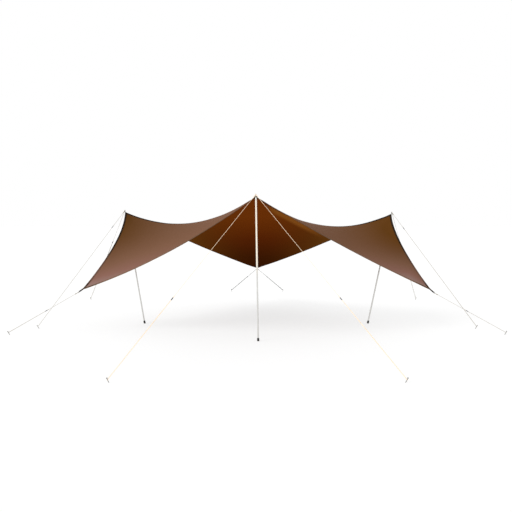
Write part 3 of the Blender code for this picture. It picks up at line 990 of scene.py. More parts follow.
class Net:
    """A net of knots that fans out from the front corner: row r holds the places 0 to 4r."""

    ROUNDS = 6
    AT_REST = 1e-8
    TINY = 1e-30

    def __init__(self, cut: TarpCut, shift: np.ndarray) -> None:
        """Strings the net between the borders and pulls it level.

        Args:
            cut: How the sheet is cut.
            shift: How far the frame's own origin is from the one that the corners are measured from.
        """
        self.cut = cut
        self.rows = cut.rows
        row = np.repeat(np.arange(self.rows), np.arange(self.rows) + 1)
        step = np.arange(len(row)) - row * (row + 1) // 2
        self.panels = []
        for panel in range(4):
            near = self.number(row, panel * row + step)
            left = self.number(row + 1, panel * (row + 1) + step)
            outer = np.stack([near, left + 1, left], axis=1)
            inner = np.stack([near, near + 1, left + 1], axis=1)[step < row]
            self.panels.append(np.concatenate([outer, inner]))
        self.cells = np.concatenate(self.panels)
        self.spots = self.strung() + shift

    def number(self, row: int | np.ndarray, place: int | np.ndarray) -> int | np.ndarray:
        """The number of the knot at that place of that row."""
        return 2 * row * row - row + place

    def spoke(self, seam: int) -> np.ndarray:
        """Knots of a line from the front corner out: 0 and 4 are the front borders, 2 the middle."""
        row = np.arange(self.rows + 1)
        return self.number(row, seam * row)

    def rim(self, panel: int) -> np.ndarray:
        """Knots of a panel's outer border."""
        return self.number(self.rows, panel * self.rows + np.arange(self.rows + 1))

    def strung(self) -> np.ndarray:
        """Finds where the knots come to rest, by conjugate gradients on the links' pulls.

        Returns:
            One row for each knot.
        """
        cut = self.cut
        total = self.number(self.rows, 4 * self.rows) + 1
        spots = np.zeros((total, 3))
        free = np.ones((total, 1), bool)
        edges = [(self.spoke(0), cut.border(cut.front_tip, cut.ring[0], cut.front_bows[0])),
                 (self.spoke(4), cut.border(cut.front_tip, cut.ring[4], cut.front_bows[1]))]
        for panel, bow in enumerate(cut.ring_bows):
            edges.append((self.rim(panel), cut.border(cut.ring[panel], cut.ring[panel + 1], bow)))
        for knots, line in edges:
            spots[knots] = line
            free[knots] = False
        pairs = np.concatenate([self.cells[:, [0, 1]], self.cells[:, [1, 2]], self.cells[:, [2, 0]]])
        pairs = np.unique(np.sort(pairs, axis=1), axis=0)
        pull = np.ones(len(pairs))
        for seam, taut in zip((1, 3), cut.ridge_pulls):
            pull[np.isin(pairs, self.spoke(seam)).all(axis=1)] = taut * self.rows
        one, two = pairs.T
        weight = (np.bincount(one, pull, total) + np.bincount(two, pull, total))[:, None]

        def strain(values: np.ndarray) -> np.ndarray:
            """The net pull on each free knot.

            Args:
                values: Three values for each knot, such as its place.

            Returns:
                Three pulls for each knot, which are 0 where it is held.
            """
            made = np.empty_like(values)
            for axis in range(3):
                across = (values[one, axis] - values[two, axis]) * pull
                made[:, axis] = np.bincount(one, across, total) - np.bincount(two, across, total)
            return made * free

        left_over = -strain(spots)
        easing = left_over / weight
        way = easing.copy()
        power = np.sum(left_over * easing, axis=0)
        for _ in range(self.ROUNDS * self.rows):
            bent = strain(way)
            stride = power / np.maximum(np.sum(way * bent, axis=0), self.TINY)
            spots += way * stride
            left_over -= bent * stride
            easing = left_over / weight
            renewed = np.sum(left_over * easing, axis=0)
            if np.abs(left_over).max() < self.AT_REST:
                break
            way = easing + way * (renewed / np.maximum(power, self.TINY))
            power = renewed
        return spots

    def normals(self) -> np.ndarray:
        """The direction square to the sheet at each knot.

        Returns:
            One row for each knot.
        """
        one, two, three = (self.spots[self.cells[:, corner]] for corner in range(3))
        square = np.cross(two - one, three - one)
        made = np.zeros_like(self.spots)
        for corner in range(3):
            for axis in range(3):
                made[:, axis] += np.bincount(self.cells[:, corner], square[:, axis], len(made))
        return unit(made)


@dataclass(frozen=True)
class Creases:
    """How the taut cloth still departs from a smooth one: slack between the corners, folds near them."""

    slack: float = 0.005
    slack_waves: float = 0.9
    ripple: float = 0.0012
    ripple_waves: float = 3.1
    fold: float = 0.004
    folds_round: float = 10.0
    fold_reach: float = 1.1
    fold_peak: float = 0.30
    fold_start: float = 0.05
    fold_shift: float = 1.7
    calm_to: float = 0.03

    def lifts(self, spots: np.ndarray, corners: np.ndarray) -> np.ndarray:
        """How far each knot moves square to the sheet.

        Args:
            spots: The knots.
            corners: The sheet's six corners.

        Returns:
            One distance for each knot.
        """
        made = np.zeros(len(spots))
        for height, waves in ((self.slack, self.slack_waves), (self.ripple, self.ripple_waves)):
            made += height * np.array([noise.noise(Vector(spot) * waves) for spot in spots])
        nearest = np.full(len(spots), np.inf)
        middle = spots.mean(axis=0)
        for number, corner in enumerate(corners):
            away = spots - corner
            distance = np.linalg.norm(away, axis=1)
            inward = unit(middle - corner)
            turn = np.arctan2(away @ unit(np.cross(inward, (0.0, 0.0, 1.0))), away @ inward)
            near = (smooth_step(distance, self.fold_start, self.fold_peak)
                    * (1 - smooth_step(distance, self.fold_peak, self.fold_reach)))
            made += self.fold * near * np.cos(self.folds_round * turn + self.fold_shift * number)
            nearest = np.minimum(nearest, distance)
        return made * smooth_step(nearest, self.calm_to, self.fold_peak)


class Sheet:
    """The hung sheet, and a way to lay other things on it."""

    PIN_CLEARANCE = 0.010

    def __init__(self, net: Net, creases: Creases) -> None:
        """Shapes the sheet from its net.

        Args:
            net: The taut net.
            creases: Its slack and folds.
        """
        self.net = net
        knots = [0, *(net.number(net.rows, turn * net.rows) for turn in range(5))]
        self.corners = net.spots[knots].copy()
        corner_ups = net.normals()[knots]
        net.spots = net.spots + net.normals() * creases.lifts(net.spots, self.corners)[:, None]
        middle = net.spots.mean(axis=0)
        for number in (0, 2, 4):
            inward = middle - self.corners[number]
            up = corner_ups[number]
            net.spots[knots[number]] += unit(inward - up * (inward @ up)) * self.PIN_CLEARANCE
        self.ups = net.normals()
        self.tree = BVHTree.FromPolygons(net.spots.tolist(), net.cells.tolist())

    def drape(self, points: np.ndarray) -> tuple[np.ndarray, np.ndarray]:
        """Lays points on the sheet. A point beyond its border stays level with it.

        Args:
            points: Points near the sheet.

        Returns:
            The laid points, and the direction square to the sheet at each.
        """
        found = [self.tree.find_nearest(Vector(point)) for point in points]
        near = np.array([hit[0] for hit in found])
        cells = self.net.cells[[hit[2] for hit in found]]
        one, two, three = (self.net.spots[cells[:, corner]] for corner in range(3))
        square = np.cross(two - one, three - one)
        size = np.sum(square * square, axis=1)
        first = np.sum(np.cross(two - near, three - near) * square, axis=1) / size
        second = np.sum(np.cross(three - near, one - near) * square, axis=1) / size
        share = np.stack([first, second, 1 - first - second], axis=1)
        ups = unit(np.sum(self.ups[cells] * share[..., None], axis=1))
        aside = points - near
        aside -= ups * np.sum(aside * ups, axis=1)[:, None]
        return near + aside, ups

    def strip(self, line: np.ndarray, offsets: Sequence[float | np.ndarray]) -> tuple[np.ndarray, np.ndarray]:
        """Lines side by side on the sheet.

        Args:
            line: The line that they follow.
            offsets: For each, how far it lies to the left of that line, at each point or at all.

        Returns:
            The lines and the directions square to the sheet.
        """
        line, ups = self.drape(line)
        left = unit(np.cross(ups, unit(np.gradient(line, axis=0))))
        laid = [self.drape(line + left * np.reshape(np.broadcast_to(offset, len(line)), (-1, 1)))
                for offset in offsets]
        return np.array([one[0] for one in laid]), np.array([one[1] for one in laid])


class Stitcher:
    """Sewing machine: rows of raised stitches on both faces of the sheet, and the pieces they hold."""

    REACH = 0.002

    def __init__(self, sheet: Sheet) -> None:
        """Starts with nothing sewn."""
        self.sheet = sheet
        self.shell = Shell()
        self.pieces: list[bpy.types.Object] = []

    def row(self, line: np.ndarray, lift: float, pitch: float = 0.0075, width: float = 0.0011) -> None:
        """Sews along a line.

        Args:
            line: The line, near the sheet.
            lift: How far off the sheet's middle the stitches lie, on both faces.
            pitch: The distance from stitch to stitch.
            width: How thick the thread is.
        """
        length = travel(line)[-1]
        count = max(int(length / pitch), 1)
        places = (np.arange(count) + 0.5) * length / count
        middle, ups = self.sheet.drape(resampled(line, places))
        before = resampled(line, places - self.REACH)
        ahead = resampled(line, np.minimum(places + self.REACH, length)) - before
        for up in (ups, -ups):
            self.shell.bars(middle + up * lift, ahead, up, (pitch * 0.72, width, width * 0.7))

    def beside(self, line: np.ndarray, aside: float | np.ndarray, lift: float) -> None:
        """Sews at a distance to the left of a line."""
        self.row(self.sheet.strip(line, [aside])[0][0], lift)


class CornerKind(Enum):
    """What holds a corner of the sheet."""

    RAISED = "raised"
    LOW = "low"


@dataclass(frozen=True)
class Corner:
    """A corner of the sheet, with the way out of it and half the angle between its borders."""

    name: str
    kind: CornerKind
    axes: Axes
    half_angle: float

    @classmethod
    def of(cls, sheet: Sheet, name: str, number: int, ends: Sequence[int], level: Sequence[int]) -> "Corner":
        """Measures a corner.

        Args:
            sheet: The sheet.
            name: The corner's name.
            number: Its place in the sheet's list of corners, where the raised ones have even places.
            ends: A knot on each of the two borders, a little way from the corner.
            level: Two knots that span the plane of the corner's fitting.

        Returns:
            The corner.
        """
        place = sheet.corners[number]
        one, two = (unit(sheet.net.spots[knot] - place) for knot in level)
        up = unit(np.cross(one, two))
        up = up * np.sign(up[2])
        toward = [unit(sheet.net.spots[knot] - place) for knot in ends]
        out = -(toward[0] + toward[1])
        out = unit(out - up * (out @ up))
        half = math.acos(float(np.clip(toward[0] @ toward[1], -1.0, 1.0))) / 2
        kind = CornerKind.LOW if number % 2 else CornerKind.RAISED
        return cls(name, kind, Axes(place, out, np.cross(up, out), up), half)


# A corner is measured at knots that lie one of this many parts of a border away from its tip.
CORNER_PARTS = 14


def all_corners(sheet: Sheet) -> list[Corner]:
    """Measures the six corners.

    Args:
        sheet: The sheet.

    Returns:
        The corners, in the order of the sheet's own list.
    """
    at = sheet.net.number
    last = sheet.net.rows
    step = last // CORNER_PARTS
    inner = last - step
    rim = [(at(last, turn * last - step), at(last, turn * last + step)) for turn in range(5)]
    left = (at(inner, 0), rim[0][1])
    right = (at(inner, 4 * inner), rim[4][0])
    knots = (("front", (at(step, 0), at(step, 4 * step)), (at(step, step), at(step, 3 * step))),
             ("left_low", left, left),
             ("left_pole", rim[1], (at(inner, inner), rim[1][1])),
             ("back", rim[2], rim[2]),
             ("right_pole", rim[3], (at(inner, 3 * inner), rim[3][0])),
             ("right_low", right, right))
    return [Corner.of(sheet, name, number, *ends) for number, (name, *ends) in enumerate(knots)]


@dataclass
class Canopy:
    """The cloth, with its hem tape, ridge tapes and middle seam."""

    sheet: Sheet
    corners: list[Corner]
    stitcher: Stitcher
    hem_widths: Place = (0.022, 0.036, 0.022)
    hem_lap: float = 0.0015
    hem_half: float = 0.0017
    hem_row: float = 0.018
    hem_row_start: float = 0.05
    tape_half: float = 0.0011
    ridge_half_widths: Span = (0.012, 0.046)
    seam_half_widths: Span = (0.0065, 0.0065)
    seam_lift: float = 0.0010
    fold: float = 0.0002
    step: float = 0.011
    raised_start: float = 0.016
    low_start: float = 0.006

    def cloth(self) -> bpy.types.Object:
        """The sheet itself: one thin closed cloth with an outer and an inner face.

        Returns:
            The piece.
        """
        net = self.sheet.net
        half = self.sheet.ups * (net.cut.thickness / 2)
        upper = net.spots + half
        lower = net.spots - half
        front = net.spots[0]
        flats = []
        for panel, cells in enumerate(net.panels):
            seams = [net.spots[net.spoke(seam)[-1]] - front for seam in (panel, panel + 1)]
            along = unit(unit(seams[0]) + unit(seams[1]))
            across = np.cross(unit(np.cross(seams[1], seams[0])), along)
            away = net.spots[cells] - front
            flats.append(np.stack([away @ across, away @ along], axis=-1))
        flat = np.concatenate(flats)
        loop = np.concatenate([knots[:-1] for knots in self.borders()])
        total = len(loop)
        one = np.arange(total)
        two = (one + 1) % total
        shell = Shell()
        shell.add(upper, net.cells, flat)
        shell.slot = 1
        shell.add(lower, net.cells[:, ::-1], flat[:, ::-1])
        shell.slot = 0
        shell.add(np.concatenate([upper[loop], lower[loop]]),
                  np.stack([two, one, one + total, two + total], axis=1))
        panels = ["canopy_left_wing", "canopy_back_left", "canopy_back_right", "canopy_right_wing"]
        return shell.piece("tarp_cloth", "cloth", ["cloth_outer", "cloth_inner"], *panels, sharp=24.0,
                           weld=1e-6)

    def borders(self) -> list[np.ndarray]:
        """Knots of the six borders, in turn round the sheet with the cloth on their left."""
        net = self.sheet.net
        return [net.spoke(4), *(net.rim(panel)[::-1] for panel in (3, 2, 1, 0)), net.spoke(0)[::-1]]

    def hem(self) -> None:
        """Dark tape folded over the border, mitred at the corners, with a row of stitches."""
        shell = Shell()
        round_sheet = [self.corners[number] for number in (0, 5, 4, 3, 2, 1, 0)]
        for number, knots in enumerate(self.borders()):
            first, last = round_sheet[number:number + 2]
            line = self.sheet.net.spots[knots]
            length = travel(line)[-1]
            start, end = (self.raised_start if corner.kind is CornerKind.RAISED else self.low_start
                          for corner in (first, last))
            count = int((length - (start + end)) / self.step)
            places = np.linspace(start, length - end, count)
            binding = min(number, 5 - number)
            shell.slot = binding
            width = np.minimum(self.hem_widths[binding], places * math.tan(first.half_angle))
            width = np.minimum(width, (length - places) * math.tan(last.half_angle))
            offsets = [-self.hem_lap, width * 0.05, width * 0.5, width]
            lines, ups = self.sheet.strip(resampled(line, places), offsets)
            shell.band(lines, ups, -self.hem_half, self.hem_half)
            sewn = np.linspace(self.hem_row_start, length - self.hem_row_start, count)
            self.stitcher.beside(resampled(line, sewn), self.hem_row, self.hem_half)
        bindings = ["front_binding", "side_binding", "back_binding"]
        self.stitcher.pieces.append(shell.piece("hem_tape", "webbing", bindings))

    def tape(self, shell: Shell, seam: int, half_widths: Span, sides: Sequence[float],
             layers: Sequence[Span], row: float, bare: int = 0) -> None:
        """Lays tape along a seam that runs out from the front corner, and sews it down.

        Args:
            shell: The mesh that the tape goes into.
            seam: The seam's number in the net.
            half_widths: Half the tape's width at the front and at the end.
            sides: Where the tape's lines lie, as shares of that half.
            layers: From where to where each layer lies above the sheet's middle.
            row: Where its two rows of stitches lie, as a share of the half.
            bare: How many steps at each end have no stitches.
        """
        line = self.sheet.net.spots[self.sheet.net.spoke(seam)]
        length = travel(line)[-1]
        places = np.linspace(self.raised_start, length - self.raised_start, int(length / self.step))
        narrow, wide = half_widths
        half = narrow + (wide - narrow) * smooth_step(places, 0.3 * length, length)
        lines, ups = self.sheet.strip(resampled(line, places), [side * half for side in sides])
        for slot, (low, high) in enumerate(layers):
            shell.slot = slot
            shell.band(lines, ups, low, high)
        sewn = slice(bare, len(places) - bare)
        for side in (-row, row):
            self.stitcher.beside(resampled(line, places[sewn]), side * half[sewn], layers[0][1])

    def seams(self) -> None:
        """Dark tapes on the two ridge seams, and the felled middle seam in the cloth's own colours."""
        ridges = Shell()
        for seam in (1, 3):
            self.tape(ridges, seam, self.ridge_half_widths, (-1.0, -0.5, 0.0, 0.5, 1.0),
                      [(-self.tape_half, self.tape_half)], 0.75, 4)
        self.stitcher.pieces.append(ridges.piece("ridge_tapes", "webbing", ["ridge_tape"]))
        middle = Shell()
        self.tape(middle, 2, self.seam_half_widths, (-1.0, 0.0, 1.0),
                  [(self.fold, self.seam_lift), (-self.seam_lift, -self.fold)], 0.7)
        self.stitcher.pieces.append(middle.piece("middle_seam", "cloth", ["cloth_outer", "cloth_inner"]))


@dataclass(frozen=True)
class PatchCut:
    """How a corner's patch is cut: how far it reaches from its hole, where it is flat, and its layers."""

    hole: float
    nose: float
    body: float
    lap: float
    flat_to: float
    slot: str
    finishes: tuple[str, ...]
    layers: tuple[Span, ...]


GROMMET_HOLE = 0.0068
PATCH_HALF = 0.0014
PATCH_FOLD = 0.0002
PATCHES = {
    CornerKind.RAISED: PatchCut(
        hole=GROMMET_HOLE + 0.001, nose=0.023, body=0.105, lap=0.003, flat_to=0.020, slot="webbing",
        finishes=("corner_webbing",), layers=((-PATCH_HALF, PATCH_HALF),)),
    CornerKind.LOW: PatchCut(
        hole=0.0006, nose=0.007, body=0.150, lap=-0.004, flat_to=0.030, slot="cloth",
        finishes=("cloth_outer", "cloth_inner"),
        layers=((PATCH_FOLD, PATCH_HALF), (-PATCH_HALF, -PATCH_FOLD))),
}


@dataclass
class CornerTrim:
    """What is sewn to a corner: a patch on both faces, a grommet, and webbing on the low ones."""

    sheet: Sheet
    corner: Corner
    stitcher: Stitcher
    grommet_rim: float = 0.0128
    grommet_half: float = 0.0020
    tab_start: float = -0.060
    tab_reach: float = 0.085
    tab_half_width: float = 0.0145
    tab_half: float = 0.0018
    tab_round: float = 0.009
    eye_inset: float = 0.013
    eye_hole: float = 0.0058
    eye_rim: float = 0.0108
    patch_rows: Span = (0.006, 0.013)
    patch_pitch: float = 0.0055
    draping: float = 2.4
    box: Span = (-0.052, -0.016)
    box_inset: float = 0.003
    box_pitch: float = 0.0034
    box_stitches: Place = (0.0026, 0.0009, 0.0006)

    def outline(self, cut: PatchCut) -> tuple[np.ndarray, np.ndarray]:
        """The patch's outline round the corner.

        Args:
            cut: How it is cut.

        Returns:
            Angles from the way out, and distances from the corner.
        """
        reach = np.linspace(cut.nose, cut.body, 10)
        border = math.pi - self.corner.half_angle - np.arcsin(cut.lap / reach)
        share = np.linspace(0.0, 1.0, 16)[1:]
        inner = border[-1] + (math.pi - border[-1]) * share
        scoop = 0.76 + 0.24 * (1 - share) ** 2
        front = np.linspace(0.0, border[0], 14)[:-1]
        angles = np.concatenate([front, border, inner])
        radii = np.concatenate([np.full(len(front), cut.nose), reach, cut.body * scoop])
        return np.concatenate([angles, -angles[-2:0:-1]]), np.concatenate([radii, radii[-2:0:-1]])

    def patch(self) -> None:
        """The reinforcing patch, laid on the sheet and flat round its hole."""
        cut = PATCHES[self.corner.kind]
        angles, radii = self.outline(cut)
        axes = self.corner.axes
        ways = np.cos(angles)[:, None] * axes.out + np.sin(angles)[:, None] * axes.across
        lines = []
        ups = []
        for share in np.linspace(0.0, 1.0, 12) ** 1.3:
            distance = cut.hole + (radii - cut.hole) * share
            level = axes.place + ways * distance[:, None]
            laid, up = self.sheet.drape(level)
            loose = smooth_step(distance, cut.flat_to, cut.flat_to * self.draping)[:, None]
            lines.append(level + (laid - level) * loose)
            ups.append(unit(axes.up + (up - axes.up) * loose))
        shell = Shell()
        for slot, (low, high) in enumerate(cut.layers):
            shell.slot = slot
            shell.band(np.array(lines), np.array(ups), low, high, True)
        inside = np.flatnonzero(np.abs(angles) > math.pi - self.corner.half_angle + 0.05)
        inside = inside[np.argsort(np.mod(angles[inside], FULL_TURN))]
        for inset in self.patch_rows:
            line = axes.place + ways[inside] * (radii[inside] - inset)[:, None]
            self.stitcher.row(line, PATCH_HALF, self.patch_pitch)
        self.stitcher.pieces.append(shell.piece(f"{self.corner.name}_patch", cut.slot, cut.finishes))

    def grommet_profile(self, hole: float, rim: float, half: float) -> Profile:
        """The rolled section of a grommet.

        Args:
            hole: The radius of its hole.
            rim: Its outer radius.
            half: Half its height.

        Returns:
            Radius and height of each point, all the way round the section.
        """
        top = [(hole, 0.0), (hole + 0.0002, half * 0.6), (hole + 0.0009, half * 0.95), (hole + 0.0018, half),
               (rim - 0.0016, half * 0.92), (rim - 0.0004, half * 0.7), (rim, half * 0.35)]
        return top + [(radius, -height) for radius, height in reversed(top[1:])]

    def grommet(self) -> None:
        """The metal ring that a pole's pin goes through."""
        shell = Shell()
        shell.hoop(self.grommet_profile(GROMMET_HOLE, self.grommet_rim, self.grommet_half), self.corner.axes)
        name = self.corner.name
        self.stitcher.pieces.append(shell.piece(f"{name}_grommet", "steel", ["plated_steel"],
                                                f"{name}_corner_disc", sharp=60.0))

    def tab(self) -> None:
        """The webbing tab, doubled and sewn through the patch, with an eye for the ropes."""
        axes = self.corner.axes
        eye = np.array((self.tab_reach - self.eye_inset, 0.0, 0.0))
        turn = np.linspace(0.0, math.pi / 2, 6)
        end = [(self.tab_reach - self.tab_round + self.tab_round * math.cos(angle),
                self.tab_half_width - self.tab_round + self.tab_round * math.sin(angle)) for angle in turn]
        half = end + [(along, self.tab_half_width) for along in np.linspace(0.010, self.tab_start, 8)]
        outline = np.array([(along, aside, 0.0) for along, aside in half]
                           + [(along, -aside, 0.0) for along, aside in reversed(half)])
        away = outline - eye
        ways = unit(away)
        reach = np.linalg.norm(away, axis=1)
        hole = self.eye_hole + 0.0002
        lines = np.array([axes.at(ways * (hole + (reach - hole) * share)[:, None] + eye)
                          for share in np.linspace(0.0, 1.0, 7)])
        shell = Shell()
        shell.band(lines, np.broadcast_to(axes.up, lines.shape), -self.tab_half, self.tab_half, True)
        shell.slot = 1
        ring = replace(axes, place=axes.place + axes.out * eye[0])
        shell.hoop(self.grommet_profile(self.eye_hole, self.eye_rim, self.tab_half + 0.0007), ring, 40)
        shell.slot = 2
        self.box_stitch(shell)
        name = self.corner.name
        finishes = ["corner_webbing", "plated_steel", "patch_thread"]
        self.stitcher.pieces.append(shell.piece(f"{name}_webbing", "webbing", finishes, f"{name}_corner_tab"))

    def box_stitch(self, shell: Shell) -> None:
        """A sewn square with a cross in it, on both faces of the tab.

        Args:
            shell: The tab's mesh.
        """
        axes = self.corner.axes
        start, end = self.box
        side = self.tab_half_width - self.box_inset
        corners = np.array([(start, -side), (end, -side), (end, side), (start, side)])
        for one, two in ((0, 1), (1, 2), (2, 3), (3, 0), (0, 2), (1, 3)):
            run = corners[two] - corners[one]
            count = max(int(np.linalg.norm(run) / self.box_pitch), 1)
            flat = corners[one] + run * (np.arange(count) + 0.5)[:, None] / count
            ahead = np.broadcast_to(axes.at((*run, 0.0)) - axes.place, (count, 3))
            for face in (1.0, -1.0):
                places = axes.at(np.column_stack([flat, np.full(count, face * self.tab_half)]))
                up = np.broadcast_to(axes.up * face, (count, 3))
                shell.bars(places, ahead, up, self.box_stitches)


# Poles


@dataclass
class Pole:
    """A pole of silver tubes with a rubber foot and a tip that narrows to a pin."""

    name: str
    sections: tuple[str, ...]
    radius: float = 0.014
    bead: float = 0.0009
    bead_half: float = 0.0028
    beads_at: Span = (0.030, 0.012)
    button_at: float = 0.052
    foot_radius: float = 0.019
    ribs_start: float = 0.0075
    rib_pitch: float = 0.0068
    button_radius: float = 0.0032
    shoulder_height: float = 0.050

    def __post_init__(self) -> None:
        """Reads the pole's line from its lowest tube."""
        bar = Bar.of(f"{self.name}_{self.sections[0]}")
        up = -bar.direction
        ground = bar.end - up * (bar.end[2] / up[2])
        self.axes = Axes.along(ground, ground + up, (0.0, 1.0, 0.0))

    def span(self, part: str) -> Span:
        """Where a node of the pole begins and ends, as heights along it."""
        heights = (node_points(f"{self.name}_{part}") - self.axes.place) @ self.axes.up
        return float(heights.min()), float(heights.max())

    def foot(self) -> None:
        """The ribbed rubber foot, flat on the ground."""
        top = self.span("foot")[1]
        wide = self.foot_radius
        profile = [(wide - 0.0015, 0.0), (wide, 0.0055), (wide, self.ribs_start)]
        for number in range(4):
            start = self.ribs_start + number * self.rib_pitch
            profile += [(wide - depth, start + height) for depth, height in (
                (0.0002, 0.0004), (0.0014, 0.0012), (0.0014, 0.0026), (0.0002, 0.0034), (0.0, 0.0040))]
        profile += [(wide, 0.0375), (wide - 0.0006, 0.0395), (0.0160, top - 0.0060), (0.0156, top - 0.0012),
                    (0.0150, top)]
        shell = Shell()
        shell.turned(profile, self.axes, 48, on_ground=True)
        shell.piece(f"{self.name}_rubber_foot", "rubber", ["pole_rubber"], f"{self.name}_foot")

    def tube(self, number: int) -> None:
        """A tube with a rolled bead near each joint, and a spring button in the upper ones.

        Args:
            number: Its place from the ground up.
        """
        part = self.sections[number]
        low, high = self.span(part)
        edge = ((0.0012, 0.0), (0.0003, 0.0006), (0.0, 0.0014))
        profile = [(self.radius - depth, low + height) for depth, height in edge]
        beads = []
        if number > 0:
            beads.append(low + self.beads_at[0])
        if number < len(self.sections) - 1:
            beads.append(high - self.beads_at[1])
        for middle in beads:
            for share in np.linspace(-1.0, 1.0, 9):
                rise = self.bead * math.cos(share * math.pi / 2) ** 2
                profile.append((self.radius + rise, middle + share * self.bead_half))
        profile += [(self.radius - depth, high - height) for depth, height in reversed(edge)]
        shell = Shell()
        shell.turned(profile, self.axes, 48)
        if number > 0:
            shell.slot = 1
            self.button(shell, low + self.button_at)
        shell.piece(f"{self.name}_{part}_tube", "tube", ["satin_tube", "plated_steel"], f"{self.name}_{part}")

    def button(self, shell: Shell, height: float) -> None:
        """A spring button that locks two tubes together.

        Args:
            shell: The upper tube's mesh.
            height: How high up the pole it is.
        """
        spot = self.axes.at((0.0, self.radius - 0.0015, height))
        axes = Axes.along(spot, spot + self.axes.across, self.axes.up)
        wide = self.button_radius
        dome = [(wide * math.cos(step), 0.0016 + 0.0022 * math.sin(step))
                for step in np.linspace(0.0, math.pi / 2, 7)[:-1]]
        shell.turned([(wide, 0.0), *dome], axes, 20)

    def tip(self) -> None:
        """The plug in the top of the pole, its shoulder under the sheet and its pin through it."""
        low, high = self.span("tip")
        shoulder = low + self.shoulder_height
        profile = [(self.radius - depth, low + height) for depth, height in (
            (0.0004, 0.0), (0.0, 0.0006), (0.0, 0.006), (0.0008, 0.0068), (0.0008, 0.0082), (0.0, 0.009),
            (0.0, 0.019), (0.0006, 0.0205))]
        profile += [(0.0098, low + 0.0270), (0.0090, low + 0.0285), (0.0090, shoulder - 0.0012),
                    (0.0082, shoulder)]
        pin = [(0.0040, shoulder - 0.0020), (0.0040, high - 0.0040), (0.0036, high - 0.0020),
               (0.0026, high - 0.0006), (0.0014, high)]
        shell = Shell()
        shell.turned(profile, self.axes)
        shell.slot = 1
        shell.turned(pin, self.axes, 24)
        shell.piece(f"{self.name}_pin_tip", "steel", ["bright_plug", "dull_steel"], f"{self.name}_tip",
                    sharp=32.0)

    def build(self) -> None:
        """Builds the pole from the ground up."""
        self.foot()
        for number in range(len(self.sections)):
            self.tube(number)
        self.tip()


# Ropes, sliders and pegs


class Hold(Enum):
    """What a rope's upper end is tied to."""

    PIN = "pin"
    EYE = "eye"


